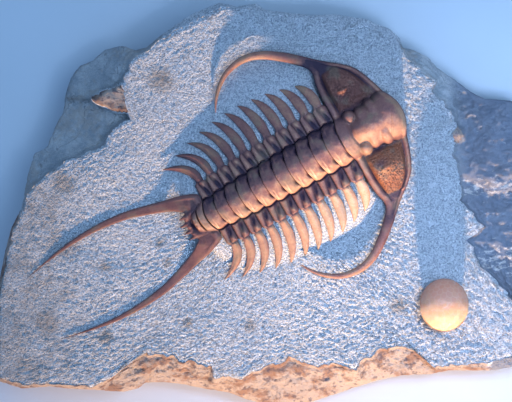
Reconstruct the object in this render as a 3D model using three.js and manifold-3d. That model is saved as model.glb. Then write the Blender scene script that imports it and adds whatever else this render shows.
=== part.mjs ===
// A spiny trilobite with swept-back cheek spines and a forked tail, standing clear of the limestone
// that it was found in, with a globular cystoid beside it. Millimetres, +Z up. X runs along the
// slab and Y up its face; the origin is in the middle of the sawn back, so that the slab lies flat.
import * as THREE from "three";
import { mergeVertices } from "three/addons/utils/BufferGeometryUtils.js";
import Module from "manifold-3d";

const wasm = await Module();
wasm.setup();

// Driving dimensions of the slab and of what lies on it
const FACE_HEIGHT = 30; // sawn back to the prepared face
const GAP = 0.3; // left between neighbouring plates, and between each and the rock
const HEADING = THREE.MathUtils.degToRad(29.3); // the animal's axis, turned from the slab's long side
const AXIS_ORIGIN = [5.6, 12.2]; // point of the face under the animal's sixth segment
const CYSTOID_AT = [80.3, -44.8];
const CYSTOID_SEMI = [11.1, 12.0, 11.4]; // half its length each way
const CYSTOID_SUNK = 2.4; // how deep it sits in the rock

// Driving dimensions of the animal. u runs forward along its axis, v to its left, w up from the face
const SEGMENT_COUNT = 11;
const HEAD_REAR = 34.6; // u of the seam between head and first segment
const FIRST_PITCH = 6.83; // length of the first segment along the axis
const PITCH_LOSS = 0.052; // what each further segment loses of it
const RING_HALF_WIDTH = 10.2; // half the axial lobe at the head
const FULCRUM = 18.8; // from the axis to where the ribs turn down
const RING_BULGE = 2.2; // how far a ring's middle reaches behind its ends
const BED_SPREAD = 2.33; // foot of the rock under the thorax, as a share of its top's width
const RIB_LEVEL = 1.7; // top of the ribs above the rock that carries them
const RIB_THICKNESS = 1.3;
const RIB_SPINE_WIDTH = 5.0; // free end of the first rib, near its root
const RIB_TIP_LEVEL = 1.4; // above the face
const HEAD_BASE = 2.1; // underside of the head above the face
const HEAD_RIM_WIDTH = 2.7; // raised rim round the head
const HEAD_RIM_LEVEL = 4.0; // above the face, at the front
const NECK_RING_LENGTH = 6.4; // ring of the head next to the thorax, along the axis
const CHEEK_SWELL = 5.2; // top of the cheek, at the eye, above the level of the rim
const EYE = [44.6, 19.6]; // u and v of the left one
const CHEEK_SPINE_LEVEL = 3.4; // centre of the cheek spines above the face
const CHEEK_SPINE_ROOT = 4.9; // width where it leaves the head
const TAIL_SPINE_ROOT = 5.4; // width behind the flare where it leaves the tail
const TAIL_SPINE_THICKNESS = 1.4;
const TAIL_SPINE_LEVEL = 0.05; // centre of its outer part above the face: half of it lies in the rock

const lerp = THREE.MathUtils.lerp;
const smooth = THREE.MathUtils.smoothstep; // smooth(x, low, high) rises from 0 to 1
const hump = (x) => Math.sin(Math.PI * THREE.MathUtils.clamp(x, 0, 1));

// A number from -1 to 1 that is always the same for the same two counts
function chance(i, j) {
  const x = Math.sin(i * 127.1 + j * 311.7) * 43758.5453;
  return 2 * (x - Math.floor(x)) - 1;
}

// Rock under the body is highest behind the head and falls slowly towards the tail
const rockUnder = (u) => 3.5 + 0.0278 * (u + 38);

// Seam behind segment k on the ribs. k = 0 is the seam behind the head
const seam = (k) => HEAD_REAR - FIRST_PITCH * k + PITCH_LOSS * k * k;
const ringHalf = (k) => RING_HALF_WIDTH - 0.0225 * k * k;
const ringCrest = (k) => 7.2 - 0.03 * k * k; // middle of a ring above the ribs
const fulcrum = (k) => FULCRUM - 0.025 * k * k;
const ribReach = (k) => 37.2 - 0.27 * (k - 5.3) ** 2; // from the axis to a rib's tip
const ribSweep = (k) => 4.3 + 7.6 * ((k - 1) / (SEGMENT_COUNT - 1)) ** 3; // tip behind its segment

// The same seam at v from the axis: it bows back across the ring
const seamAt = (k, v) => seam(k) - RING_BULGE * (1 - Math.min(1, (v / ringHalf(k)) ** 2));

// Height of an arched ring, as a share of its crest, at v from the axis
const archAt = (v, halfWidth) => (1 - Math.min(1, v / halfWidth) ** 1.8) ** 0.6;

// A closed body through sections with equally many points, each a loop of [x, y, z] that turns
// counter-clockwise when seen from ahead, with one point before the first and one after the last
function loft(firstTip, sections, lastTip) {
  const count = sections[0].length;
  const points = [firstTip, ...sections.flat(), lastTip];
  const faces = [];
  for (let j = 0; j < count; j++) {
    const next = (j + 1) % count;
    faces.push(0, 1 + next, 1 + j);
    for (let i = 0; i + 1 < sections.length; i++) {
      const a = 1 + i * count;
      const b = a + count;
      faces.push(a + j, a + next, b + next, a + j, b + next, b + j);
    }
    const last = 1 + (sections.length - 1) * count;
    faces.push(points.length - 1, last + j, last + next);
  }
  const geometry = new THREE.BufferGeometry();
  geometry.setAttribute("position", new THREE.Float32BufferAttribute(points.flat(), 3));
  geometry.setIndex(faces);
  return geometry;
}

// A geometry as a solid for joining and cutting, and back
function solidOf(geometry) {
  const bare = new THREE.BufferGeometry();
  bare.setAttribute("position", geometry.getAttribute("position"));
  bare.setIndex(geometry.getIndex());
  const merged = mergeVertices(bare, 1e-4); // closes the seams of spheres and extrusions
  const mesh = new wasm.Mesh({
    numProp: 3,
    vertProperties: new Float32Array(merged.getAttribute("position").array),
    triVerts: new Uint32Array(merged.getIndex().array),
  });
  return new wasm.Manifold(mesh);
}

function geometryOf(solid) {
  const { vertProperties, triVerts } = solid.getMesh();
  const geometry = new THREE.BufferGeometry();
  geometry.setAttribute("position", new THREE.Float32BufferAttribute(vertProperties, 3));
  geometry.setIndex(new THREE.BufferAttribute(triVerts, 1));
  return geometry;
}

const ellipsoid = ({ at, semi, around = 12, down = 8 }) =>
  new THREE.SphereGeometry(1, around, down).rotateX(Math.PI / 2).scale(...semi).translate(...at);

// The loop of a plate's section. A station holds where its rear and front edges are ([u, v]), the
// places between them (0 rear, 1 front) that get a point, and the heights of its two faces there.
function sectionOf({ rear, front, over, under, top, bottom }) {
  const at = (x, height) => [lerp(rear[0], front[0], x), lerp(rear[1], front[1], x), height];
  return [...over.map((x) => at(x, top(x))), ...under.map((x) => at(x, bottom(x)))];
}

const mirrored = (station) => ({
  ...station,
  rear: [station.rear[0], -station.rear[1]],
  front: [station.front[0], -station.front[1]],
});

// A plate that is the same on both sides, from stations between the axis and its left tip
function pairedPlate(stations, tip) {
  const left = stations.map(sectionOf);
  const right = stations.slice(1).reverse().map(mirrored).map(sectionOf);
  return loft([tip[0], -tip[1], tip[2]], [...right, ...left], tip);
}

// Shares of a spine's length with a station, without its root and its tip
const sharesOf = (count) => Array.from({ length: count }, (_, i) => (i + 1) / (count + 1));

// Stations of a spine that runs outwards along a curve of (u, v, w)
function spineStations(curve, shares, widthAt, thicknessAt, over, under) {
  return shares.map((x) => {
    const centre = curve.getPoint(x);
    const way = curve.getTangent(x).setZ(0).normalize();
    const half = widthAt(x) / 2;
    const thick = thicknessAt(x) / 2;
    const round = (t) => thick * (0.3 + 0.7 * Math.sqrt(Math.max(0, 1 - (2 * t - 1) ** 2)));
    return {
      rear: [centre.x - way.y * half, centre.y + way.x * half],
      front: [centre.x + way.y * half, centre.y - way.x * half],
      over,
      under,
      top: (t) => centre.z + round(t),
      bottom: (t) => centre.z - round(t),
    };
  });
}

// Thorax segment k: an arched ring, a rib on each side with a slanting furrow, and its free spine
function thoraxSegment(k) {
  const middle = (seam(k) + seam(k - 1) - GAP) / 2;
  const ring = ringHalf(k);
  const turn = fulcrum(k);
  const ribTop = rockUnder(middle) + RIB_LEVEL;
  const under = [1, 0];
  const stationAt = (v, inset, divide, top) => {
    const rear = [seamAt(k, v) + inset, v];
    const front = [seamAt(k - 1, v) - GAP - inset, v];
    const over = [0, divide * 0.5, divide, lerp(divide, 1, 0.5), 1];
    const bottom = (x) => rockUnder(lerp(rear[0], front[0], x)) + GAP;
    return { rear, front, over, under, top, bottom };
  };

  // The ring is highest in its middle and dips to a furrow in front, deepest near its ends
  const ringTop = (v) => (x) => {
    const crown = 0.96 + 0.04 * smooth(x, 0, 0.4) - 0.13 * smooth(x, 0.75, 1);
    const pit = smooth(x, 0.75, 1) * hump((v / ring - 0.4) / 0.6);
    return ribTop + ringCrest(k) * archAt(v, ring) * crown * (1 - 0.3 * pit);
  };
  const ringStations = [0, 0.35, 0.65, 0.88].map((share) => {
    return stationAt(share * ring, 0, 0.5, ringTop(share * ring));
  });

  // The rib's furrow slants from the front of the ring to the rear of the fulcrum, where it narrows
  const ribStations = [ring + 0.2, ring + 1.6, turn - 1.8, turn].map((v) => {
    const divide = lerp(0.62, 0.3, (v - ring) / (turn - ring));
    const raised = smooth(v, ring, ring + 1.2) * (1 - 0.7 * smooth(v, turn - 0.9, turn));
    const ahead = (x) => 0.9 * hump((x - divide) / (1 - divide));
    const band = (x) => (x < divide ? 0.35 * hump(x / divide) : ahead(x));
    const top = (x) => ribTop - 0.5 + (0.2 + band(x)) * raised;
    return stationAt(v, 0.9 * smooth(v, turn - 1.5, turn), divide, top);
  });

  // The free spine is broad near its root and curves down and back to its tip
  const reach = ribReach(k);
  const root = new THREE.Vector3(middle + 0.3, turn, ribTop - RIB_THICKNESS / 2);
  const tip = new THREE.Vector3(middle - ribSweep(k), reach, RIB_TIP_LEVEL);
  const elbow = new THREE.Vector3(middle + 0.9, lerp(turn, reach, 0.66), lerp(root.z, tip.z, 0.5));
  const spines = spineStations(
    new THREE.QuadraticBezierCurve3(root, elbow, tip),
    sharesOf(4),
    (x) => (RIB_SPINE_WIDTH - 0.06 * k) * (0.8 + 0.2 * smooth(x, 0, 0.25)) * (1 - x ** 2.6) ** 0.9,
    (x) => lerp(RIB_THICKNESS, 0.5, x),
    [0, 0.25, 0.5, 0.75, 1],
    under,
  );
  return pairedPlate([...ringStations, ...ribStations, ...spines], tip.toArray());
}

// Rear and front edge of the head's left half, from the axis to the root of the cheek spine
const HEAD_EDGES = [
  [[32.4, 0], [64.1, 0]],
  [[32.7, 3.6], [63.7, 3.6]],
  [[33.4, 6.8], [62.4, 7.0]],
  [[34.3, 9.4], [61.0, 9.8]],
  [[34.6, 10.6], [60.3, 11.4]],
  [[34.6, 15.0], [58.8, 16.2]],
  [[34.6, 20.5], [56.7, 21.8]],
  [[34.9, 25.0], [54.2, 26.4]],
  [[35.4, 28.8], [50.8, 30.0]],
  [[36.3, 32.0], [46.8, 33.2]],
  [[36.2, 34.8], [43.0, 36.2]],
  [[34.9, 37.6], [39.6, 39.2]],
];
const CHEEK_SPINE = [
  [37.1, 38.3], [32.9, 42.5], [27.5, 47.0], [21.6, 51.1], [15.3, 53.5],
  [9.0, 53.8], [2.7, 52.1], [-2.9, 48.4], [-7.2, 43.7], [-10.1, 38.7],
];

// The swollen lobes of the head; those off the axis come in pairs
const HEAD_LOBES = [
  { at: [49.2, 0, 4.6], semi: [12.4, 7.5, 12.2], around: 14 }, // middle of the glabella
  { at: [55.4, 0, 4.0], semi: [8.6, 11.8, 12.4], around: 18 }, // frontal lobe, level with the rim
  { at: [42.3, 0, 3.6], semi: [5.0, 8.0, 9.8], around: 10 }, // band that joins the basal lobes
  { at: [41.2, 7.6, 7.4], semi: [3.3, 3.4, 4.4], around: 8 }, // round basal lobe
  { at: [48.2, 4.9, 5.4], semi: [3.3, 3.9, 8.8], around: 10 }, // second lobe
  { at: [53.0, 5.6, 5.4], semi: [2.0, 4.4, 9.0], around: 8 }, // third lobe
  { at: [...EYE, 8.4], semi: [3.4, 2.2, 2.6], around: 8 }, // eye
];

function headShield() {
  const under = [1, 0.5, 0];

  // The rear rim is level with the ribs in the middle and comes down to the cheek spine
  const innerLevel = rockUnder(HEAD_REAR) + RIB_LEVEL;
  const rearRim = (v) => lerp(innerLevel, CHEEK_SPINE_LEVEL + 1, smooth(v, 14, 34));
  const stations = HEAD_EDGES.map(([rear, front]) => {
    const v = (rear[1] + front[1]) / 2;
    const length = Math.hypot(front[0] - rear[0], front[1] - rear[1]);
    const rim = Math.min(HEAD_RIM_WIDTH / length, 0.3);
    const rearEnd = v < RING_HALF_WIDTH ? NECK_RING_LENGTH / length : rim;
    const top = (x) => {
      const crown = 0.96 - 0.6 * smooth(x * length, 5, 8.2);
      const neck = ringCrest(0) * archAt(v, RING_HALF_WIDTH) * crown;
      const ridge = 0.7 * hump(Math.min(x / rearEnd, (1 - x) / rim));
      const alongCheek = (lerp(rear[0], front[0], x) - EYE[0]) / 13.5;
      const acrossCheek = (v - EYE[1]) / (v > EYE[1] ? 13 : 9);
      const cone = Math.max(0, 1 - Math.hypot(alongCheek, acrossCheek)) ** 0.85;
      const cheek = CHEEK_SWELL * cone * smooth(x * length, 2.7, 6.5) * (1 - smooth(x, 0.8, 1 - rim));
      return lerp(rearRim(v), HEAD_RIM_LEVEL, x) - 0.6 + ridge + cheek + neck;
    };
    const inner = [lerp(rearEnd, 0.5, 0.5), 0.5, lerp(0.5, 1 - rim, 0.5)];
    const over = [0, rearEnd * 0.5, rearEnd, ...inner, 1 - rim, 1 - rim / 2, 1];
    return { rear, front, over, under, top, bottom: () => HEAD_BASE };
  });

  const centreline = CHEEK_SPINE.map(([u, v], i) => {
    const share = i / (CHEEK_SPINE.length - 1);
    return new THREE.Vector3(u, v, CHEEK_SPINE_LEVEL - 0.9 * share);
  });
  const curve = new THREE.CatmullRomCurve3(centreline);
  const width = (x) => CHEEK_SPINE_ROOT * (1 - x) ** 0.62;
  const thickness = (x) => Math.min(2.6, 0.85 * width(x));
  const over = [0, 0.1, 0.25, 0.38, 0.5, 0.62, 0.75, 0.9, 1];
  const spines = spineStations(curve, sharesOf(12), width, thickness, over, under);
  const shield = solidOf(pairedPlate([...stations, ...spines], curve.getPoint(1).toArray()));

  const lobes = HEAD_LOBES.flatMap((lobe) => {
    const [u, v, w] = lobe.at;
    return v === 0 ? [lobe] : [lobe, { ...lobe, at: [u, -v, w] }];
  });
  const crown = wasm.Manifold.union(lobes.map(ellipsoid).map(solidOf)).intersect(aheadOfThorax());
  return geometryOf(shield.add(crown));
}

// Everything ahead of the thorax and above the underside of the head, which trims its lobes
function aheadOfThorax() {
  const far = 80;
  const steps = 8;
  const outline = new THREE.Shape();
  outline.moveTo(far, far);
  outline.lineTo(HEAD_REAR, far);
  for (let i = 0; i <= steps; i++) {
    const v = RING_HALF_WIDTH * lerp(1, -1, i / steps);
    outline.lineTo(seamAt(0, v), v);
  }
  outline.lineTo(HEAD_REAR, -far);
  outline.lineTo(far, -far);
  const block = new THREE.ExtrudeGeometry(outline, { depth: far, bevelEnabled: false });
  return solidOf(block.translate(0, 0, HEAD_BASE));
}

// Rear edge of the tail's left half, and the far end of its front edge
const TAIL_REAR = [[-46.4, 0], [-46.2, 2.6], [-45.5, 4.8], [-44.4, 6.6], [-45.6, 8.0]];
const TAIL_FRONT_V = [0, 2.8, 5.2, 8.5, 12.5];
const TAIL_SPINE = [
  [-42.6, 11.0], [-49.5, 13.3], [-58.5, 16.1], [-67.5, 18.5], [-77.0, 19.8],
  [-86.0, 20.2], [-95.0, 19.9], [-104.0, 18.8], [-111.5, 17.5], [-121.0, 15.5],
];
const TAIL_RINGS = [
  { at: [-38.9, 0, 4.6], semi: [1.9, 6.4, 3.7] },
  { at: [-41.9, 0, 4.4], semi: [2.5, 4.7, 2.9] },
];
// Short spines on the rear edge
const TAIL_FRINGE = [
  { at: [-45.6, 1.7], tip: [-49.0, 1.9] },
  { at: [-45.0, 4.4], tip: [-48.4, 5.6] },
];

const TAIL_OVER = [0, 0.2, 0.5, 0.8, 1]; // across the tail's plate and spines
const tailSpineWidth = (x) => TAIL_SPINE_ROOT * (1 - x) + 3.6 * Math.exp(-x / 0.06);
const tailSpineThickness = (x) => Math.min(TAIL_SPINE_THICKNESS, 0.8 * tailSpineWidth(x));

// The spines leave the tail at its own height and soon come down into the rock
function tailSpineCurve() {
  const rootLevel = rockUnder(TAIL_REAR[0][0]) + GAP + 1.4;
  const centreline = TAIL_SPINE.map(([u, v], i) => {
    const share = i / (TAIL_SPINE.length - 1);
    const fall = Math.exp(-((share / 0.104) ** 1.7));
    return new THREE.Vector3(u, v, lerp(TAIL_SPINE_LEVEL, rootLevel, fall));
  });
  return new THREE.CatmullRomCurve3(centreline);
}

// Hollow in the rock for the left tail spine, wider than the spine by the gap on every side
function tailSpineHollow(hand) {
  const curve = tailSpineCurve();
  const width = (x) => tailSpineWidth(x) + 2 * GAP;
  const thickness = (x) => tailSpineThickness(x) + 3 * GAP;
  const shares = [...sharesOf(13), 1];
  const sections = spineStations(curve, shares, width, thickness, TAIL_OVER, [1, 0.5, 0]).map(sectionOf);
  const start = curve.getPoint(0).toArray();
  const end = curve.getPoint(1).addScaledVector(curve.getTangent(1), 2 * GAP).toArray();
  const spine = solidOf(loft(start, sections, end));
  const placed = hand < 0 ? spine.mirror([0, 1, 0]) : spine;
  return solidOf(geometryOf(placed).rotateZ(HEADING).translate(...AXIS_ORIGIN, FACE_HEIGHT));
}

function tailShield() {
  const bed = rockUnder(TAIL_REAR[0][0]) + GAP;
  const over = TAIL_OVER;
  const under = [1, 0.5, 0];
  const frontAt = (v) => seamAt(SEGMENT_COUNT, v) - GAP;
  const stations = TAIL_REAR.map((rear, i) => ({
    rear,
    front: [frontAt(TAIL_FRONT_V[i]), TAIL_FRONT_V[i]],
    over,
    under,
    top: (x) => bed + lerp(0.9, 1.5, x) + 0.5 * hump(x),
    bottom: (x) => lerp(bed, rockUnder(-34) + GAP, x),
  }));

  const curve = tailSpineCurve();
  const spines = spineStations(curve, sharesOf(13), tailSpineWidth, tailSpineThickness, over, under);
  const shield = solidOf(pairedPlate([...stations, ...spines], curve.getPoint(1).toArray()));

  const rings = wasm.Manifold.union(TAIL_RINGS.map(ellipsoid).map(solidOf));
  const fringe = TAIL_FRINGE.flatMap(({ at, tip }) => [
    fringeSpine(at, tip, bed),
    fringeSpine([at[0], -at[1]], [tip[0], -tip[1]], bed),
  ]);
  return geometryOf(wasm.Manifold.union([shield, rings.trimByPlane([0, 0, 1], bed + 0.4), ...fringe]));
}

function fringeSpine(from, to, bed) {
  const start = new THREE.Vector3(from[0], from[1], bed + 0.9);
  const end = new THREE.Vector3(to[0], to[1], bed - 0.4);
  const length = start.distanceTo(end);
  const cone = new THREE.ConeGeometry(0.85, length, 6).translate(0, length / 2, 0);
  const turn = new THREE.Quaternion().setFromUnitVectors(
    new THREE.Vector3(0, 1, 0),
    end.clone().sub(start).normalize(),
  );
  return solidOf(cone.applyQuaternion(turn).translate(start.x, start.y, start.z));
}

// The slab from above, counter-clockwise from its right end: each point of its rim as [x, y, height]
const RIM = [
  [122, 11.2, 22], [120.6, 29.2, 21], [117.5, 41.9, 20], [111.2, 47.2, 20], [99, 48.1, 21],
  [92.7, 51.3, 21], [86.4, 56.2, 22], [78.8, 61.2, 22], [73.8, 66.6, 22], [66.6, 70.2, 23],
  [62.1, 71.1, 24], [60.8, 75.2, 25], [56.7, 79.2, 26], [50.4, 81.5, 27], [45.9, 83.7, 27],
  [31.1, 86, 27], [20.2, 85.5, 27], [6.8, 87.3, 27], [0.5, 87.8, 26], [-4, 90.9, 26],
  [-12.6, 89.5, 26], [-20.2, 91.3, 25], [-32.4, 86.4, 26], [-40.1, 81.5, 26], [-45.9, 77.4, 26],
  [-53.1, 71.5, 25], [-58.5, 69.8, 24], [-62.6, 71.5, 21], [-65.7, 72, 19], [-72.5, 70.2, 17],
  [-78.3, 65.2, 16], [-84.2, 63, 15], [-88.2, 57.1, 15], [-90.5, 49.5, 15], [-91.4, 42.3, 16],
  [-94.5, 36.5, 16], [-99, 25.7, 18], [-104.4, 23.4, 17], [-107.5, 13.1, 17], [-109.4, 2.2, 19],
  [-110.2, -1.4, 20], [-114.8, -10.8, 22], [-117, -19.8, 23], [-118.5, -27, 24], [-121.5, -42.8, 25],
  [-122, -60.8, 25], [-121.5, -79.1, 24], [-109.8, -82.8, 25], [-97.2, -81.9, 25], [-89.5, -82.8, 24],
  [-73.8, -83.7, 22], [-64.4, -84.6, 20], [-56.7, -82.8, 18], [-54.5, -80.5, 17], [-45.9, -80.1, 17],
  [-38.2, -81, 16], [-27.4, -83.2, 15], [-16.2, -85, 14], [-6.8, -88.7, 13], [6.8, -91.3, 12],
  [21.6, -89.1, 13], [31.1, -86, 14], [41.4, -82.4, 15], [51.8, -79.2, 17], [62.1, -77, 18],
  [74.7, -76.5, 20], [82.8, -74.7, 22], [91.4, -74.7, 23], [102.6, -74.7, 24], [115.2, -72.5, 25],
  [120.2, -65.2, 25], [122, -42.8, 24], [121, -15.8, 22],
];
// Where the prepared face ends, as [x, y, how far the rock steps down there]
const FACE_EDGE = [
  [87.8, 2.2, 2.5], [87.8, 13.1, 2.5], [84.2, 28.4, 2], [86.4, 35.6, 2], [83.2, 43.6, 2.5],
  [75.2, 51.3, 2.5], [76, 55.4, 2.5], [69.3, 60.8, 2.5], [60.3, 72, 2], [55.4, 77.4, 1],
  [31.1, 83.7, 0.6], [6.8, 85, 0.6], [-4, 88.2, 0.6], [-20.2, 88.7, 0.6], [-45.9, 75.2, 0.6],
  [-56.7, 68, 1], [-60.8, 64.4, 3], [-64.8, 54, 5], [-60.3, 38.2, 5], [-68, 34.2, 6],
  [-73.8, 26.1, 5], [-87.8, 21.2, 6], [-97.2, 14.4, 6], [-108.9, 4, 5], [-109.8, -2.2, 3],
  [-113, -10.8, 2], [-117, -27, 1], [-119.7, -42.8, 1], [-120.2, -77.9, 1], [-109.8, -80.5, 1],
  [-76.5, -81.5, 1], [-68.4, -77, 2], [-56.7, -68.4, 3], [-53.1, -66.6, 3], [-42.3, -68.4, 3],
  [-23.9, -73.4, 3], [-22.5, -77, 3], [-12.6, -78.8, 2.5], [0.5, -72.5, 3], [10.8, -68.9, 3],
  [23.9, -72.5, 3], [32.9, -71.1, 3], [41.4, -74.2, 2], [42.8, -69.8, 3], [51.8, -64.8, 3],
  [60.8, -63.9, 3], [66.6, -65.2, 3], [75.2, -72.5, 2], [95, -72, 1.5], [111.2, -68.4, 1.5],
  [117.9, -56.2, 1], [111.2, -41.9, 1.5], [95.9, -25.7, 2.5], [91.4, -16.2, 3], [98.5, -9.5, 2],
];

// Where a ray from the slab's middle at an angle meets a closed line round it
function lineAt(line, angle) {
  const side = ([x, y]) => Math.cos(angle) * y - Math.sin(angle) * x;
  const ahead = ([x, y]) => Math.cos(angle) * x + Math.sin(angle) * y;
  const i = line.findIndex((point, j) => {
    const next = line[(j + 1) % line.length];
    return side(point) <= 0 && side(next) > 0 && ahead(point) > 0;
  });
  const from = line[i];
  const to = line[(i + 1) % line.length];
  const share = side(from) / (side(from) - side(to));
  return from.map((value, axis) => lerp(value, to[axis], share));
}

// Flat sawn back, broken sides, a broken band round the prepared face, and the face itself
function limestoneSlab() {
  const stations = RIM.map(([x, y, height], i) => {
    const [ex, ey, drop] = lineAt(FACE_EDGE, Math.atan2(y, x));
    const inside = Math.min(1, (0.985 * Math.hypot(x, y)) / Math.hypot(ex, ey));
    return { i, rim: [x, y], height, edge: [ex * inside, ey * inside], drop };
  });
  const scaled = ([x, y], share) => [x * share, y * share];
  const between = ({ edge, rim }, share) => edge.map((value, axis) => lerp(value, rim[axis], share));
  const rings = [
    (s) => [...scaled(s.rim, 0.955 + 0.012 * chance(s.i, 1)), 0],
    (s) => [...scaled(s.rim, 0.985 + 0.01 * chance(s.i, 2)), s.height * 0.45],
    (s) => [...s.rim, s.height],
    (s) => [...between(s, 0.6), lerp(FACE_HEIGHT - s.drop, s.height, 0.5) + 1.1 * chance(s.i, 3)],
    (s) => [...between(s, 0.18), FACE_HEIGHT - s.drop + 0.4 * chance(s.i, 4)],
    (s) => [...s.edge, FACE_HEIGHT - 0.15 + 0.15 * chance(s.i, 5)],
    (s) => [...scaled(s.edge, 0.84), FACE_HEIGHT + 0.12 * chance(s.i, 6)],
    (s) => [...scaled(s.edge, 0.5), FACE_HEIGHT + 0.12 * chance(s.i, 7)],
  ];
  const body = solidOf(loft([0, 0, 0], rings.map((ring) => stations.map(ring)), [0, 0, FACE_HEIGHT]));
  const socket = solidOf(cystoid(GAP));
  const rock = body.add(thoraxBed()).add(headBed());
  return geometryOf(wasm.Manifold.difference([rock, socket, tailSpineHollow(1), tailSpineHollow(-1)]));
}

// Rock left standing under the animal. topEdge is the left half of its top, from front to rear, and
// spread is how much larger its foot is along and across
function mesa(topEdge, heightAt, spread) {
  const right = topEdge.filter(([, v]) => v > 0).reverse();
  const loop = [...topEdge, ...right.map(([u, v]) => [u, -v])];
  const middle = loop.reduce((sum, [u]) => sum + u, 0) / loop.length;
  const top = loop.map(([u, v]) => [u, v, FACE_HEIGHT + heightAt(u)]);
  const foot = loop.map(([u, v]) => [middle + spread[0] * (u - middle), spread[1] * v, FACE_HEIGHT - 1]);
  const centre = (height) => [middle, 0, FACE_HEIGHT + height];
  const body = loft(centre(-1), [foot, top], centre(heightAt(middle)));
  return solidOf(body.rotateZ(HEADING).translate(...AXIS_ORIGIN, 0));
}

// Its flanks slope down under the free spines and reach the face near their tips
function thoraxBed() {
  const front = [0, 4.1, 7.7, 10.2].map((v) => [seamAt(0, v) - 2 * GAP, v]);
  const side = [[34, 15], [25, 17], [0, 17], [-20, 15.6], [-33, 13.6], [-38.5, 10.2], [-43.4, 5], [-44.4, 0]];
  return mesa([...front, ...side], rockUnder, [1, BED_SPREAD]);
}

function headBed() {
  const edge = [[57.5, 0], [55.5, 8], [51.5, 18], [46, 27], [41, 31], [38.5, 30], [37.5, 20], [30, 12]];
  return mesa([...edge, [28, 0]], () => HEAD_BASE - GAP, [1.04, 1.05]);
}

// A globe of many-sided plates; spare is what a socket for it has more on every side
function cystoid(spare = 0) {
  const semi = CYSTOID_SEMI.map((half) => half + spare);
  const height = FACE_HEIGHT - CYSTOID_SUNK + CYSTOID_SEMI[2];
  const ball = new THREE.IcosahedronGeometry(1, 4);
  ball.deleteAttribute("uv");
  ball.deleteAttribute("normal");
  return mergeVertices(ball, 1e-4)
    .scale(...semi)
    .translate(...CYSTOID_AT, height);
}

const chitin = new THREE.MeshStandardMaterial({ color: 0x6b4630, roughness: 0.45, metalness: 0 });
const limestone = new THREE.MeshStandardMaterial({ color: 0xb9b6ae, roughness: 0.95, metalness: 0 });
const calcite = new THREE.MeshStandardMaterial({ color: 0xc9b28a, roughness: 0.6, metalness: 0 });

function addTo(group, name, geometry, material) {
  const mesh = new THREE.Mesh(geometry, material);
  mesh.name = name;
  group.add(mesh);
}

const plate = new THREE.Group();
plate.name = "fossil_plate";
addTo(plate, "limestone_slab", limestoneSlab(), limestone);
addTo(plate, "cystoid", cystoid(), calcite);

const animal = new THREE.Group();
animal.name = "trilobite";
animal.position.set(...AXIS_ORIGIN, FACE_HEIGHT);
animal.rotation.z = HEADING;
plate.add(animal);
addTo(animal, "head_shield", headShield(), chitin);
for (let k = 1; k <= SEGMENT_COUNT; k++) {
  addTo(animal, `thorax_segment_${String(k).padStart(2, "0")}`, thoraxSegment(k), chitin);
}
addTo(animal, "tail_shield", tailShield(), chitin);

export default plate;
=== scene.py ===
# %% [markdown]
# # A spiny trilobite on its slab
# The real piece is a slab of pale limestone. A preparator has cut the rock away from a large
# trilobite with needles and air tools, so the brown shell stands clear on a stippled face, and a
# ball-shaped fossil is left half sunk beside it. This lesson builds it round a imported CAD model:
# each CAD solid keeps its place and a finer piece of the same shape stands for it.

import math

import bpy
import numpy as np
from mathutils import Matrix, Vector, noise


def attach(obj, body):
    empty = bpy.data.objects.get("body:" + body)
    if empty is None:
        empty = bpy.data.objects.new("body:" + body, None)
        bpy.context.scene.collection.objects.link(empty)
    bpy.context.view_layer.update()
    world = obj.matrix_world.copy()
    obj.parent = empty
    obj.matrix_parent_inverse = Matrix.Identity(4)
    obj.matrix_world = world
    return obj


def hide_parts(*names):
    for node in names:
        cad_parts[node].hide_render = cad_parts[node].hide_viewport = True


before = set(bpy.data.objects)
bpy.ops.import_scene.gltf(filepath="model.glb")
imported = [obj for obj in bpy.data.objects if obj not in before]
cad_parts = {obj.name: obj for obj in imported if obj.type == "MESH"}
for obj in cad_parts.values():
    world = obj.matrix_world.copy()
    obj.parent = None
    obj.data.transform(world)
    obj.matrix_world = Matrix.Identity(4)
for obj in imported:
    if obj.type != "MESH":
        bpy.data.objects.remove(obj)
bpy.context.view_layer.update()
MM = 0.001  # the CAD works in millimetres, Blender in metres
print("CAD solids:", len(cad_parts))

# %% [markdown]
# ## Where things are
# The slab lies flat with its face up. X runs along it, Y up the face and Z out of it. The animal
# has directions of its own: u forward along its axis, v to its left and w up from the face. The
# same few sizes shape the CAD solids, so the fine pieces land where the solids are.

# %% Sizes in millimetres
FACE_HEIGHT = 30.0
GAP = 0.3
HEADING = math.radians(29.3)
AXIS_ORIGIN = (5.6, 12.2)
CYSTOID_AT = (80.3, -44.8)
CYSTOID_SEMI = (11.1, 12.0, 11.4)
CYSTOID_SUNK = 2.4
SEGMENTS = 11
HEAD_REAR = 34.6
FIRST_PITCH = 6.83
PITCH_LOSS = 0.052
RING_HALF_WIDTH = 10.2
FULCRUM = 18.8
RING_BULGE = 2.2
RIB_LEVEL = 1.7


def seam(k):
    return HEAD_REAR - FIRST_PITCH * k + PITCH_LOSS * k * k


def ring_half(k):
    return RING_HALF_WIDTH - 0.0225 * k * k


def seam_at(k, v):
    return seam(k) - RING_BULGE * (1 - np.minimum(1, (v / ring_half(k)) ** 2))


def rock_under(u):
    return 3.5 + 0.0278 * (u + 38)


def to_slab(points):
    """(u, v, w) on the animal to (x, y, z) on the slab, in metres."""
    u, v, w = np.moveaxis(np.asarray(points, float), -1, 0)
    x = AXIS_ORIGIN[0] + u * math.cos(HEADING) - v * math.sin(HEADING)
    y = AXIS_ORIGIN[1] + u * math.sin(HEADING) + v * math.cos(HEADING)
    return np.stack([x, y, w + FACE_HEIGHT], -1) * MM


print("seams behind head and segments:", [round(seam(k), 1) for k in range(SEGMENTS + 1)])

# %% [markdown]
# ## Camera
# The photograph looks straight at the face. A long lens far above the slab gives the same flat
# view: 512 pixels cover 230.4 mm of the face.

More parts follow.
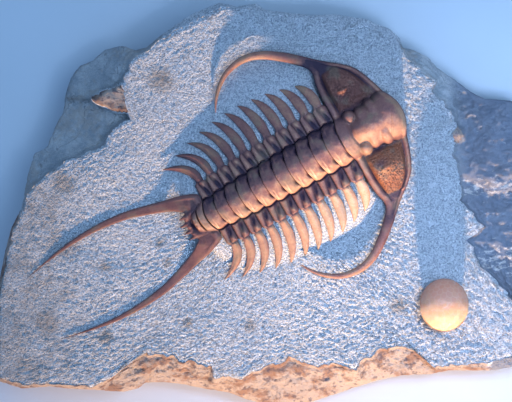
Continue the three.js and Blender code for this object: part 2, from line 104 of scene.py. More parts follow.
# %% Camera
camera_data = bpy.data.cameras.new("camera")
camera_data.sensor_width = 36
camera_data.lens = 36 * 2.2 / 0.2304
camera_data.clip_end = 20
camera = bpy.data.objects.new("camera", camera_data)
camera.location = (-0.00405, 0.0018, 2.2 + FACE_HEIGHT * MM)
bpy.context.scene.collection.objects.link(camera)
bpy.context.scene.camera = camera
print("lens:", round(camera_data.lens), "mm")

# %% [markdown]
# ## Floor and light
# A plain pale floor lies under the slab. The key light is a softened lamp, low at the foot of the
# slab, because a raking light is what shows the stippled rock and the spines standing off it. A
# cool sky fills the shadows.


# %% Floor and light
def add_light(name, place, target, size, power, color):
    data = bpy.data.lights.new(name, "AREA")
    data.shape = "DISK"
    data.size = size
    data.energy = power
    data.color = color
    lamp = bpy.data.objects.new(name, data)
    lamp.location = place
    lamp.rotation_euler = (Vector(target) - Vector(place)).to_track_quat("-Z", "Y").to_euler()
    bpy.context.scene.collection.objects.link(lamp)
    return lamp


add_light("key", (0.13, -1.22, 0.30), (0, 0, 0.03), 0.045, 12.0, (1.0, 0.71, 0.46))
add_light("overhead", (0.55, 0.10, 1.1), (0.08, 0, 0), 0.9, 5.0, (0.46, 0.72, 1.0))


def add_spot(name, place, target, cone, power, color):
    data = bpy.data.lights.new(name, "SPOT")
    data.energy = power
    data.color = color
    data.shadow_soft_size = 0.02
    data.spot_size = math.radians(cone)
    data.spot_blend = 1.0
    lamp = bpy.data.objects.new(name, data)
    lamp.location = place
    lamp.rotation_euler = (Vector(target) - Vector(place)).to_track_quat("-Z", "Y").to_euler()
    bpy.context.scene.collection.objects.link(lamp)


add_spot("show_lamp", (0.13, -1.22, 0.30), (0.045, -0.012, 0.035), 20.5, 180.0, (1.0, 0.68, 0.42))
add_spot("pool", (0.13, -1.22, 0.30), (0.033, 0.004, 0.034), 4.2, 85.0, (1.0, 0.76, 0.54))

daylight = add_light("daylight", (0.13, -0.02, 0.36), (0.10, -0.02, 0.03), 0.10, 0.26, (0.38, 0.58, 1.0))
daylight.data.spread = math.radians(60)

world = bpy.data.worlds.new("soft_sky")
world.use_nodes = True
world.node_tree.nodes["Background"].inputs["Color"].default_value = (0.25, 0.50, 1.0, 1)
world.node_tree.nodes["Background"].inputs["Strength"].default_value = 1.28
bpy.context.scene.world = world
bpy.context.scene.view_settings.view_transform = "Standard"

floor_mesh = bpy.data.meshes.new("floor")
floor_mesh.from_pydata([(-3, -3, -0.0005), (3, -3, -0.0005), (3, 3, -0.0005), (-3, 3, -0.0005)], [], [(0, 1, 2, 3)])
floor = bpy.data.objects.new("floor", floor_mesh)
bpy.context.scene.collection.objects.link(floor)

# %% [markdown]
# ## Sums in node trees
# Materials and Geometry Nodes both do sums with small Math nodes. Wiring dozens of them by hand
# hides what they say, so this helper lets a sum be written as a sum: each sign adds one node.


# %% A number in a node tree
class Number:
    """A number in a node tree. Its sums add Math nodes to the tree."""

    def __init__(self, tree, socket):
        self.tree = tree
        self.socket = socket

    def math(self, operation, *items):
        return math_node(self.tree, operation, *items)

    def __add__(self, other):
        return self.math("ADD", self, other)

    def __radd__(self, other):
        return self.math("ADD", other, self)

    def __sub__(self, other):
        return self.math("SUBTRACT", self, other)

    def __rsub__(self, other):
        return self.math("SUBTRACT", other, self)

    def __mul__(self, other):
        return self.math("MULTIPLY", self, other)

    def __rmul__(self, other):
        return self.math("MULTIPLY", other, self)

    def __truediv__(self, other):
        return self.math("DIVIDE", self, other)

    def __pow__(self, other):
        return self.math("POWER", self, other)

    def __lt__(self, other):
        return self.math("LESS_THAN", self, other)


def feed(tree, slot, item):
    """Gives an input either a wire or a fixed value."""
    if isinstance(item, Number):
        tree.links.new(item.socket, slot)
    elif isinstance(item, bpy.types.NodeSocket):
        tree.links.new(item, slot)
    else:
        slot.default_value = item


def math_node(tree, operation, *items):
    node = tree.nodes.new("ShaderNodeMath")
    node.operation = operation
    for slot, item in zip(node.inputs, items):
        feed(tree, slot, item)
    return Number(tree, node.outputs[0])


def least(a, b):
    return a.math("MINIMUM", a, b)


def most(a, b):
    return a.math("MAXIMUM", a, b)


def root(a):
    return a.math("SQRT", most(a, 0.0))


def blend(a, b, share):
    return share * (b - a) + a


def rise(value, low, high):
    """A soft step from 0 at low to 1 at high."""
    node = value.tree.nodes.new("ShaderNodeMapRange")
    node.interpolation_type = "SMOOTHSTEP"
    for slot, item in zip(node.inputs, (value, low, high)):
        feed(value.tree, slot, item)
    return Number(value.tree, node.outputs[0])


def ramp(value, low, high):
    """A straight step from 0 at low to 1 at high."""
    node = value.tree.nodes.new("ShaderNodeMapRange")
    for slot, item in zip(node.inputs, (value, low, high)):
        feed(value.tree, slot, item)
    return Number(value.tree, node.outputs[0])


def bell(value, middle, width):
    away = (value - middle) / width
    return value.math("EXPONENT", away * away * -1.0)


def hump(value):
    """Half a sine wave over 0 to 1."""
    return value.math("SINE", ramp(value, 0.0, 1.0) * math.pi)


print("helpers for node sums are ready")

# %% [markdown]
# ## Shell
# Trilobite shell is calcite that fossilised to caramel and dark brown. It is satin and lighter
# where it is worn on crests. The furrows, pits and seams are painted nearly black-brown as shade,
# the animal's left side, away from the low lamp, is painted darker as shade and its right side
# lighter as light, and thin painted highlights run along the steps of the rings and sit on the
# right eye. Each piece carries two numbers on its points for this: one from furrow to crest, which
# also carries the painted shade and highlights, and `pitted`, where the cheeks are rusty and
# coarse, with less rust painted on the shaded left cheek. The rest of the colour is noise on
# Object coordinates.


# %% Material helpers
def new_material(name):
    material = bpy.data.materials.new(name)
    material.use_nodes = True
    tree = material.node_tree
    shader = tree.nodes["Principled BSDF"]
    place = tree.nodes.new("ShaderNodeTexCoord").outputs["Object"]
    return material, tree, shader, place


def noise_at(tree, place, per_mm, detail=4.0, roughness=0.55, stretch=None):
    if stretch:
        mapping = tree.nodes.new("ShaderNodeMapping")
        mapping.inputs["Scale"].default_value = stretch
        tree.links.new(place, mapping.inputs["Vector"])
        place = mapping.outputs["Vector"]
    node = tree.nodes.new("ShaderNodeTexNoise")
    node.inputs["Scale"].default_value = per_mm * 1000
    node.inputs["Detail"].default_value = detail
    node.inputs["Roughness"].default_value = roughness
    tree.links.new(place, node.inputs["Vector"])
    return Number(tree, node.outputs["Fac"])


def cells_at(tree, place, per_mm, feature="F1", output="Distance"):
    node = tree.nodes.new("ShaderNodeTexVoronoi")
    node.feature = feature
    node.inputs["Scale"].default_value = per_mm * 1000
    tree.links.new(place, node.inputs["Vector"])
    return Number(tree, node.outputs[output])


def attribute(tree, name):
    node = tree.nodes.new("ShaderNodeAttribute")
    node.attribute_name = name
    return Number(tree, node.outputs["Fac"])


def color_mix(tree, a, b, share):
    node = tree.nodes.new("ShaderNodeMix")
    node.data_type = "RGBA"
    feed(tree, node.inputs["Factor"], share)
    for slot, item in ((node.inputs[6], a), (node.inputs[7], b)):
        feed(tree, slot, (*item, 1) if isinstance(item, tuple) else item)
    return node.outputs[2]


def bump(tree, shader, height, depth_mm, strength=1.0):
    node = tree.nodes.new("ShaderNodeBump")
    node.inputs["Distance"].default_value = depth_mm * MM
    node.inputs["Strength"].default_value = strength
    feed(tree, node.inputs["Height"], height)
    tree.links.new(node.outputs["Normal"], shader.inputs["Normal"])


# %% Shell material
shell, tree, shader, place = new_material("fossil_shell")
crest_and_shade = attribute(tree, "crest_and_shade")
pitted = attribute(tree, "pitted")
blotch = noise_at(tree, place, 0.16, 3.0)
fleck = noise_at(tree, place, 1.1, 5.0, 0.65)
# The crest number carries painted shade and painted highlights as well as wear, so these tones paint them too: the
# dark end is painted shade, the light end partly painted light.
wear_and_shade = crest_and_shade + (blotch - 0.5) * 0.7 + (fleck - 0.5) * 0.5
tone = color_mix(tree, (0.024, 0.012, 0.020), (0.165, 0.068, 0.050), ramp(wear_and_shade, 0.05, 0.60))
tone = color_mix(tree, tone, (0.36, 0.18, 0.095), ramp(wear_and_shade, 0.60, 1.00))
tone = color_mix(tree, tone, (0.52, 0.33, 0.215), ramp(wear_and_shade, 1.00, 1.35))
pock = cells_at(tree, place, 1.15)
tone = color_mix(tree, tone, (0.235, 0.076, 0.028), pitted * 0.7)
tone = color_mix(tree, tone, (0.045, 0.020, 0.020), pitted * (1.0 - ramp(pock, 0.05, 0.45)) * 0.75)
tone = color_mix(tree, tone, (0.110, 0.078, 0.050), rise(blotch, 0.50, 0.68) * 0.5)
feed(tree, shader.inputs["Base Color"], tone)
feed(tree, shader.inputs["Roughness"], blend(0.62, 0.40, crest_and_shade) + (fleck - 0.5) * 0.25)
shader.inputs["Specular IOR Level"].default_value = 0.15
grain_fine = fleck * 0.6 + noise_at(tree, place, 3.4, 3.0) * 0.5 + pitted * ramp(pock, 0.0, 0.6) * 2.4
bump(tree, shader, grain_fine, 0.16, 0.8)
print("shell material:", len(tree.nodes), "nodes")

# %% [markdown]
# ## Limestone
# The prepared face is light grey and covered with the small dents of the needle. The broken band
# along the foot is fresh cream and rusty stone, and the weathered ledges are dark grey. At the
# right edge the dark rock is painted a deeper blue-grey as shade, and its two scarps are painted
# lighter as light. The slab's points carry `broken` and `weathered` for this, and a scarp mask for
# the painted light. Noise breaks up the borders between them, and iron stains lie here and there
# on the face.

# %% Limestone material
rock, tree, shader, place = new_material("limestone")
weathered = attribute(tree, "weathered")
broken = attribute(tree, "broken")
stained = attribute(tree, "stained")
cloud = noise_at(tree, place, 0.035, 4.0)
patch = noise_at(tree, place, 0.13, 5.0, 0.6)
chip = noise_at(tree, place, 0.40, 4.0)
dent = noise_at(tree, place, 1.15, 3.0, 0.6)
speck = noise_at(tree, place, 2.0, 3.0, 0.7)
pale = color_mix(tree, (0.35, 0.345, 0.345), (0.80, 0.77, 0.73), rise(speck * 0.6 + dent * 0.6, 0.46, 0.70))
pale = color_mix(tree, pale, (0.29, 0.215, 0.155), rise(stained + (patch - 0.5) * 1.3, 0.15, 0.95) * 0.60)
cream = color_mix(tree, (0.30, 0.225, 0.175), (0.20, 0.112, 0.075), rise(patch, 0.46, 0.62))
cream = color_mix(tree, cream, (0.085, 0.062, 0.066), rise(chip, 0.53, 0.64) * 0.75)
dark = color_mix(tree, (0.21, 0.215, 0.21), (0.40, 0.37, 0.33), rise(patch * 0.6 + speck * 0.4, 0.38, 0.66))
dark = color_mix(tree, dark, (0.30, 0.235, 0.18), rise(cloud * 0.6 + chip * 0.4, 0.49, 0.60) * 0.5)
crack = noise_at(tree, place, 0.05, 5.0, 0.45)
crack = 1.0 - rise(crack.math("ABSOLUTE", crack - 0.5), 0.0, 0.007)
dark = color_mix(tree, dark, (0.05, 0.045, 0.05), crack * rise(patch, 0.45, 0.6) * 0.6)
# Towards the right edge the dark rock is painted a deeper blue-grey: painted shade, where that rock lies out of the
# lamp's light.
across_slab = tree.nodes.new("ShaderNodeSeparateXYZ")
tree.links.new(place, across_slab.inputs[0])
dark = color_mix(tree, dark, (0.085, 0.095, 0.125), rise(Number(tree, across_slab.outputs[0]), 0.078, 0.094) * 0.72)
# The two scarps on the right are painted lighter where they face the lamp: painted light.
scarp_painted_light = attribute(tree, "scarp_painted_light")
fibre = noise_at(tree, place, 0.34, 6.0, 0.72, (0.75, 1.5, 1.0))
dark = color_mix(tree, dark, (0.36, 0.32, 0.285), rise(scarp_painted_light * 0.5 + (fibre - 0.5) * 3.6, 0.48, 0.70))
edge = (cloud - 0.5) * 0.3 + (chip - 0.5) * 0.5
stone = color_mix(tree, pale, dark, rise(weathered + edge, 0.40, 0.60))
stone = color_mix(tree, stone, cream, rise(broken + edge, 0.40, 0.60))
feed(tree, shader.inputs["Base Color"], stone)
shader.inputs["Roughness"].default_value = 0.9
shader.inputs["Specular IOR Level"].default_value = 0.25
stipple = cells_at(tree, place, 1.2) * 0.9 + dent * 2.6 + speck * 1.5
coarse = patch * 1.4 + chip * 1.2 + speck * 0.5
relief = blend(stipple, coarse, rise(weathered + broken, 0.3, 0.7))
bump(tree, shader, relief, 1.5, 1.0)
print("limestone material:", len(tree.nodes), "nodes")

# %% [markdown]
# ## Cystoid plates
# The ball is a cystoid, a sea animal whose shell is a mosaic of small many-sided plates. They are
# tan to cream, and the seams between them are a little darker. The ball's upper side, away from
# the low lamp, is painted a darker pinkish brown as shade, and a dark line painted round its foot
# is shade where it sits in the rock.

# %% Cystoid material
calcite, tree, shader, place = new_material("calcite_plates")
plate_top = attribute(tree, "plate")
plate_tone = attribute(tree, "tone")
cloud = noise_at(tree, place, 0.09, 4.0)
speck = noise_at(tree, place, 1.6, 4.0, 0.6)
mottle = cloud * 0.6 + speck * 0.3 + plate_tone * 0.25
up_slab = tree.nodes.new("ShaderNodeSeparateXYZ")
tree.links.new(place, up_slab.inputs[0])
up_mm = Number(tree, up_slab.outputs[1]) * 1000.0
out_mm = Number(tree, up_slab.outputs[2]) * 1000.0
# The ball's upper side, away from the low lamp, is painted a darker pinkish brown: painted shade.
upper_side_painted_shade = rise(up_mm + (cloud - 0.5) * 8.0, -53.0, -37.0)
# A thin dark line round the ball's lower foot is painted shade where it sits in the rock.
seat_painted_shade = (1.0 - rise(out_mm, 41.4, 42.8)) * (1.0 - rise(up_mm, -54.0, -49.0))
tan = color_mix(tree, (0.42, 0.25, 0.135), (0.55, 0.36, 0.19), rise(mottle, 0.38, 0.78))
tan = color_mix(tree, tan, (0.36, 0.145, 0.085), upper_side_painted_shade * 0.9)
tan = color_mix(tree, (0.42, 0.25, 0.16), tan, blend(0.72, 1.0, plate_top))
tan = color_mix(tree, tan, (0.10, 0.04, 0.02), seat_painted_shade * 0.85)
feed(tree, shader.inputs["Base Color"], tan)
shader.inputs["Subsurface Weight"].default_value = 1.0
shader.inputs["Subsurface Radius"].default_value = (1.0, 0.45, 0.25)
shader.inputs["Subsurface Scale"].default_value = 0.012
shader.inputs["Specular IOR Level"].default_value = 0.25
shader.inputs["Roughness"].default_value = 0.55
bump(tree, shader, speck, 0.08, 0.6)
print("cystoid material:", len(tree.nodes), "nodes")

# %% [markdown]
# ## Floor material
# A pale matt floor with a trace of grain, so that it doesn't look like a screen.

# %% Floor material
pale_floor, tree, shader, place = new_material("pale_floor")
feed(tree, shader.inputs["Base Color"], color_mix(tree, (0.42, 0.42, 0.41), (0.47, 0.47, 0.46), noise_at(tree, place, 0.02)))
shader.inputs["Roughness"].default_value = 0.85
floor.data.materials.append(pale_floor)

# %% [markdown]
# ## Closed bodies from sections
# The head and the tail are each one plate of shell that runs out into spines. Such a body is a
# row of closed loops from the right tip to the left tip. The loops are stacked in one array, so
# that numpy can shape all of them at once, and the two tips close the ends.


# %% Loops to a mesh
def body_from_loops(name, loops, material, numbers):
    """A closed mesh through loops[section, point] with the end loops drawn together."""
    sections, count = loops.shape[:2]
    first = loops[0].mean(0)
    last = loops[-1].mean(0)
    inner = loops[1:-1]
    points = np.concatenate([first[None], inner.reshape(-1, 3), last[None]])
    index = 1 + np.arange((sections - 2) * count).reshape(sections - 2, count)
    following = np.roll(index, -1, axis=1)
    quads = np.stack([index[:-1], following[:-1], following[1:], index[1:]], -1).reshape(-1, 4)
    end = len(points) - 1
    caps = [(0, b, a) for a, b in zip(index[0], following[0])]
    caps += [(end, a, b) for a, b in zip(index[-1], following[-1])]
    mesh = bpy.data.meshes.new(name)
    mesh.from_pydata(points.tolist(), [], quads.tolist() + [tuple(map(int, face)) for face in caps])
    for label, values in numbers.items():
        spread = np.concatenate([[0.5], values[1:-1].ravel(), [0.5]])
        mesh.attributes.new(label, "FLOAT", "POINT").data.foreach_set("value", spread)
    mesh.polygons.foreach_set("use_smooth", np.ones(len(mesh.polygons), bool))
    mesh.materials.append(material)
    piece = bpy.data.objects.new(name, mesh)
    bpy.context.scene.collection.objects.link(piece)
    return piece


def through(points, place):
    """A smooth line through points, at fractional counts along them."""
    points = np.asarray(points, float)
    padded = np.concatenate([2 * points[:1] - points[1:2], points, 2 * points[-1:] - points[-2:-1]])
    place = np.clip(place, 0, len(points) - 1 - 1e-9)
    i = place.astype(int)
    t = (place - i)[:, None]
    a, b, c, d = (padded[i + j] for j in range(4))
    return 0.5 * (2 * b + (c - a) * t + (2 * a - 5 * b + 4 * c - d) * t**2 + (3 * b - a - 3 * c + d) * t**3)


def evenly(line, count):
    """Fractional counts along a line of points that are evenly spaced in length."""
    steps = np.linspace(0, len(line) - 1, 60 * (len(line) - 1) + 1)
    dense = through(line, steps)
    run = np.concatenate([[0], np.cumsum(np.linalg.norm(np.diff(dense, axis=0), axis=1))])
    return np.interp(np.linspace(0, run[-1], count), run, steps)


def ease(loops, join, reach, times):
    """Smooths the plate into the spine on both sides of each join."""
    for _ in range(times):
        for start in (join - reach // 2, len(loops) - join - reach // 2):
            part = loops[start - 1 : start + reach + 1]
            loops[start : start + reach] = (part[:-2] + part[1:-1] * 2 + part[2:]) / 4


def soft(x, low, high):
    t = np.clip((x - low) / (high - low), 0, 1)
    return t * t * (3 - 2 * t)


def arc(x):
    return np.sin(np.pi * np.clip(x, 0, 1))


def higher(a, b, sharp=2.4):
    """The higher of two surfaces, with a small fillet where they meet."""
    return np.logaddexp(a * sharp, b * sharp) / sharp


def grain(points, size, octaves=4, seed=0.0):
    """Smooth noise about 0 at points given in millimetres."""
    flat = np.asarray(points, float).reshape(-1, 3) / size + seed
    values = [noise.fractal(Vector(p), 0.9, 2.0, octaves) for p in flat]
    return np.array(values).reshape(np.shape(points)[:-1])


def pits(points, size):
    """1 in the middle of scattered pits and 0 between them."""
    flat = np.asarray(points, float).reshape(-1, 3) / size
    near = np.array([noise.voronoi(Vector(p))[0][0] for p in flat])
    return (1 - soft(near, 0.20, 0.68)).reshape(np.shape(points)[:-1])


# The loop of a section: over the top from rear to front, down, back underneath and up again
OVER, EDGE, UNDER = 96, 3, 18
across = np.concatenate([np.linspace(0, 1, OVER), np.ones(EDGE - 1), np.linspace(1, 0, UNDER), np.zeros(EDGE - 1)])
low = np.concatenate([np.zeros(OVER), np.linspace(0, 1, EDGE + 1)[1:-1], np.ones(UNDER), np.linspace(1, 0, EDGE + 1)[1:-1]])
print("points round a section:", len(across))

# %% [markdown]
# ## Head
# The head is one shield. Its middle is the swollen glabella with lobes down both sides and a ball
# at each rear corner, then come the pitted cheeks with an eye on each, and a raised rim runs all
# round and out into two long curved spines. The lobes are written as domes: the height of the
# shield is the highest of them at each point, with a fillet in every furrow between two.

# %% Head outline and lobes
HEAD_EDGES = [
    [(32.4, 0), (64.1, 0)],
    [(32.7, 3.6), (63.7, 3.6)],
    [(33.4, 6.8), (62.4, 7.0)],
    [(34.3, 9.4), (61.0, 9.8)],
    [(34.6, 10.6), (60.3, 11.4)],
    [(34.6, 15.0), (58.8, 16.2)],
    [(34.6, 20.5), (56.7, 21.8)],
    [(34.9, 25.0), (54.2, 26.4)],
    [(35.4, 28.8), (50.8, 30.0)],
    [(36.3, 32.0), (46.8, 33.2)],
    [(36.2, 34.8), (43.0, 36.2)],
    [(34.9, 37.6), (39.6, 39.2)],
]
CHEEK_SPINE = [(37.1, 38.3), (32.9, 42.5), (27.5, 47.0), (21.6, 51.1), (15.3, 53.5)]
CHEEK_SPINE += [(9.0, 53.8), (2.7, 52.1), (-2.9, 48.4), (-7.2, 43.7), (-10.1, 38.7)]
HEAD_BASE = 2.1
HEAD_LOBES = [  # middle (u, v, w), half sizes, how sharp the furrow round it is and how blunt it is
    ((49.2, 0, 4.4), (12.4, 7.1, 12.2), 1.2, 2),
    ((57.2, 0, 4.0), (7.0, 11.8, 12.3), 1.8, 2.4),
    ((42.3, 0, 3.6), (5.0, 8.0, 9.8), 1.0, 2),
    ((50.2, 0, 4.4), (9.0, 10.3, 10.8), 1.4, 4),
    ((46.2, 4.4, 4.8), (3.0, 5.9, 8.9), 2.2, 3),
    ((51.8, 4.8, 4.8), (3.3, 6.7, 9.7), 2.2, 3),
    ((41.2, 7.7, 7.4), (3.2, 3.4, 4.8), 3.0, 2),
    ((44.4, 19.9, 9.0), (2.5, 1.2, 1.9), 3.0, 2),
]


def dome(u, v, middle, half, blunt):
    """Height of an ellipsoid's upper side, far down where there is none."""
    inside = 1 - np.abs((u - middle[0]) / half[0]) ** blunt - ((np.abs(v) - middle[1]) / half[1]) ** 2
    return np.where(inside > 0, middle[2] + half[2] * np.sqrt(np.maximum(inside, 0)), -40.0)


def spine_loops(line, shares, width, thickness, flat=2.0):
    """Loops round a tapering spine along a line of (u, v, w). flat is 2 for a round top, more for a flat one."""
    place = shares * (len(line) - 1)
    centre = through(line, place)
    way = through(line, place + 0.01)[:, :2] - through(line, place - 0.01)[:, :2]
    way /= np.linalg.norm(way, axis=1)[:, None]
    half = (width(shares) / 2)[:, None]
    thick = (thickness(shares) / 2)[:, None]
    out = 2 * across - 1
    u = centre[:, :1] + way[:, 1:] * half * out
    v = centre[:, 1:2] - way[:, :1] * half * out
    round_top = thick * (0.20 + 0.80 * np.sqrt(np.maximum(0, 1 - np.abs(out) ** flat)))
    round_top = round_top * (1 + 0.6 / flat * (1 - low))
    return np.stack([u, v, centre[:, 2:] + round_top * (1 - 2 * low)], -1)


# %% Head
half_edges = np.array(HEAD_EDGES)
rear_line, front_line = half_edges[:, 0], half_edges[:, 1]
flip = np.array([1, -1])
rear_line = np.concatenate([rear_line[:0:-1] * flip, rear_line])
front_line = np.concatenate([front_line[:0:-1] * flip, front_line])
stops = evenly((rear_line + front_line) / 2, 261)
rear = through(rear_line, stops)
front = through(front_line, stops)
span = np.linalg.norm(front - rear, axis=1)
side = np.abs((rear + front)[:, 1] / 2)
side_col = side[:, None]
uv = rear[:, None] + (front - rear)[:, None] * across[:, None]
u, v = uv[..., 0], uv[..., 1]

rim = np.minimum(2.7 / span, 0.3)[:, None]
in_mm = across * span[:, None]  # how far a point is from the rear edge
neck_edge = RING_HALF_WIDTH * (1.02 - 0.10 * soft(in_mm, 2.2, 6))
arch = (1 - np.minimum(1, np.abs(v) / neck_edge) ** 1.8) ** 0.6
neck = 7.2 * arch * (0.96 + 0.04 * soft(in_mm, 0, 0.8) - 0.05 * soft(in_mm, 2.4, 5) - 0.62 * soft(in_mm, 5.0, 8.2))
rear_band = 0.85 * arc(in_mm / 3.4) ** 0.7
beside = soft(side_col, 9.8, 10.8)
ridge = rear_band * beside * np.minimum(1, span[:, None] / 14)
ridge = ridge + 0.8 * arc((1 - across) / rim) * (1 - 0.7 * soft(side_col, 31, 36))
cone = np.maximum(0, 1 - np.hypot((u - 44.6) / 13.5, (np.abs(v) - 19.6) / np.where(np.abs(v) > 19.6, 13.0, 9.0)))
cheek = 5.2 * cone**0.85 * soft(in_mm, 3.3, 5.6) * (1 - soft(across, 0.80, 1 - rim))
rear_level = rock_under(HEAD_REAR) + RIB_LEVEL + (4.4 - rock_under(HEAD_REAR) - RIB_LEVEL) * soft(side_col, 14, 34)
plain = rear_level + (4.0 - rear_level) * across - 0.6 + ridge + cheek + neck
top = plain
for middle, half, sharp, blunt in HEAD_LOBES:
    top = higher(top, dome(u, v, middle, half, blunt), sharp)
print("top of the head:", round(float(top.max()), 1), "mm above the face")

# %% Head relief
field = soft(np.abs(v), 11.0, 13.0) * soft(in_mm, 3.5, 4.5)
field = field * (1 - soft(across, 1 - rim * 1.35, 1 - rim * 1.05)) * (1 - soft(side_col, 30.0, 31.5))
spots = np.stack([u, v, np.zeros_like(u)], -1)
pitting = field * pits(spots, 1.0)
top = top - 0.42 * pitting - 0.5 * np.exp(-(((in_mm - 3.6) / 0.5) ** 2)) * beside * (1 - soft(side_col, 29, 31))
crease = np.exp(-(((u * 0.8805 - v * 0.4741 - 51.8) / 0.35) ** 2)) * soft(v, -9.5, -7) * (1 - soft(v, 2, 5))
top = top - 0.45 * crease * soft(u, 50, 53)
edge_fall = 1 - np.sqrt(1 - (1 - np.minimum(1, np.minimum(across, 1 - across) / (0.30 * rim))) ** 2)
top = top - 0.6 * edge_fall
top = top + 0.10 * grain(spots, 1.6, 3) + 0.20 * grain(spots, 6.0, 3, 4.0) * (1 - field) * soft(across, 0, rim)
height = top + (HEAD_BASE - top) * low
body = np.stack([u, v, height], -1)

shares = np.linspace(0.045, 1, 96)
line = [(a, b, 3.4 - 0.9 * i / (len(CHEEK_SPINE) - 1)) for i, (a, b) in enumerate(CHEEK_SPINE)]
wide = lambda x: 4.9 * (1 - x) ** 0.62
spine = spine_loops(line, shares, wide, lambda x: np.minimum(2.6, 0.85 * wide(x)))
loops = np.concatenate([spine[::-1] * (1, -1, 1), body, spine])
join = len(spine)
ease(loops, join, 24, 40)

crest_body = np.clip(0.22 + 0.60 * soft(top, 5.5, 12.0) + 0.62 * ridge, 0, 0.98) * (1 - 0.35 * field) - 0.25 * pitting
crest_body = crest_body + 0.50 * field * soft(cheek, 0.8, 3.5) * soft(np.abs(v), 16, 22)
# The left cheek and the rear band beside it, away from the low lamp, are painted darker as shade.
crest_body = crest_body - 0.30 * soft(v, 11, 15) * (1 - soft(across, 0.75, 1.0))
# The left half of the glabella's upper part, away from the lamp, is painted darker as shade.
crest_body = crest_body - 0.24 * soft(v, -4, 4) * soft(top, 6.5, 9)
crest_spine = 0.28 + 0.44 * soft(shares, 0.03, 0.40)[:, None] * np.ones(spine.shape[1])
head_crest = np.concatenate([crest_spine[::-1], crest_body * (1 - low) + 0.2 * low, crest_spine])
# A painted highlight on the right eye, where the lamp strikes it; the left eye gets a fifth of it.
eye_painted_highlight = np.exp(-(((u - 43.3) / 2.8) ** 2) - ((np.abs(v) - 17.6) / 2.0) ** 2) * (1 - 0.8 * soft(v, -4, 4))
crest_body = crest_body + 0.65 * eye_painted_highlight
rust_and_painted_shade = field * (1 - 0.9 * eye_painted_highlight) * (1 - low) * (1 - 0.55 * soft(v, -4, 4))  # the left cheek keeps less rust: painted shade, as that side faces away from the lamp
head_pitted = np.concatenate([crest_spine * 0, rust_and_painted_shade, crest_spine * 0])
head = body_from_loops("head", to_slab(loops), shell, {"crest_and_shade": head_crest, "pitted": head_pitted})
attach(head, "root")
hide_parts("head_shield")
print("head faces:", len(head.data.polygons))

# %% [markdown]
# ## Thorax
# The eleven segments follow one rule: each is a little shorter, narrower and more swept back than
# the one in front. That makes them a case for Geometry Nodes. The tree starts from a flat grid,
# whose long side runs from the left spine tip to the right one and whose short side runs round the
# plate, and a sum for every coordinate bends it into a ring, two furrowed ribs and two free
# spines. One tree serves all eleven, and only its Segment input changes.

# %% Segment tree
segment_tree = bpy.data.node_groups.new("thorax_segment", "GeometryNodeTree")
tree = segment_tree
tree.interface.new_socket(name="Geometry", in_out="OUTPUT", socket_type="NodeSocketGeometry")
group_in = tree.nodes.new("NodeGroupInput")
group_out = tree.nodes.new("NodeGroupOutput")
inputs = {}


def named_input(name, value):
    socket = tree.interface.new_socket(name=name, in_out="INPUT", socket_type="NodeSocketFloat")
    socket.default_value = value
    inputs[name] = socket.identifier
    return Number(tree, next(s for s in group_in.outputs if s.identifier == socket.identifier))


k = named_input("Segment", 1.0)
head_rear = named_input("Head seam", HEAD_REAR)
first_pitch = named_input("First pitch", FIRST_PITCH)
pitch_loss = named_input("Pitch loss", PITCH_LOSS)
ring_start = named_input("Ring half width", RING_HALF_WIDTH)
fulcrum_start = named_input("Fulcrum", FULCRUM)
bulge = named_input("Ring bulge", RING_BULGE)
rib_level = named_input("Rib level", RIB_LEVEL)
spine_width = named_input("Spine width", 5.0)
tip_level = named_input("Tip level", 1.1)
gap = named_input("Gap", GAP)
seam_width = named_input("Seam width", 0.06)

ALONG, AROUND = 281, 53
grid = tree.nodes.new("GeometryNodeMeshGrid")
for slot, value in zip(grid.inputs, (1.0, 1.0, ALONG, AROUND)):
    slot.default_value = value
flat = tree.nodes.new("ShaderNodeSeparateXYZ")
tree.links.new(tree.nodes.new("GeometryNodeInputPosition").outputs[0], flat.inputs[0])
sideways = Number(tree, flat.outputs[0]) * 2.0
out_share = sideways.math("ABSOLUTE", sideways)
hand = sideways.math("SIGN", sideways)
turn_share = Number(tree, flat.outputs[1]) + 0.5

# over the top, down the front wall, back underneath and up the rear wall
x = ramp(turn_share, 0.0, 0.70) - ramp(turn_share, 0.75, 0.95)
down = ramp(turn_share, 0.70, 0.75) - ramp(turn_share, 0.95, 1.0)

# %% Ring and ribs
square = k * k
before = k - 1.0
rear_seam = head_rear - first_pitch * k + pitch_loss * square
front_seam = head_rear - first_pitch * before + pitch_loss * before * before
middle = (rear_seam + front_seam - gap) * 0.5
ring = ring_start - square * 0.0225
ring_before = ring_start - before * before * 0.0225
turn = fulcrum_start - square * 0.025
rib_top = (middle + 38.0) * 0.0278 + 3.5 + rib_level

BODY = 0.52  # share of the grid's half length that the ring and rib take
v = turn * out_share / BODY
inset = rise(v, turn - 1.4, turn) * 0.75
rear_u = rear_seam - bulge * (1.0 - least((v / ring) * (v / ring), 1.0)) + inset
front_u = front_seam - seam_width - bulge * (1.0 - least((v / ring_before) * (v / ring_before), 1.0)) - inset
u = blend(rear_u, front_u, x)

ring_edge = ring * (1.02 - rise(x, 0.30, 1.0) * 0.09 - (1.0 - rise(x, 0.0, 0.25)) * 0.06)
share = v / ring_edge
arch = most(1.0 - share**1.8, 0.0) ** 0.6
step = 0.33 * (1.0 - least(share, 1.0) ** 3.0 * 0.8)
crown = rise(x, step - 0.07, step + 0.06) * 0.055 + 0.945 - bell(x, step - 0.05, 0.05) * 0.02
crown = crown - rise(x, 0.50, 0.90) * 0.05 - rise(x, 0.88, 1.0) * 0.03
crown = blend(1.0, crown, rise(share, 0.10, 0.65))
fingers = bell(x, 0.18, 0.14) + bell(x, 0.62, 0.16)
crown = crown + bell(share, 0.78, 0.14) * (fingers - 0.45) * 0.13
pit = rise(x, 0.78, 1.0) * bell(share, 0.68, 0.18) * 0.34
ring_z = rib_top + (7.2 - square * 0.03) * arch * crown * (1.0 - pit)

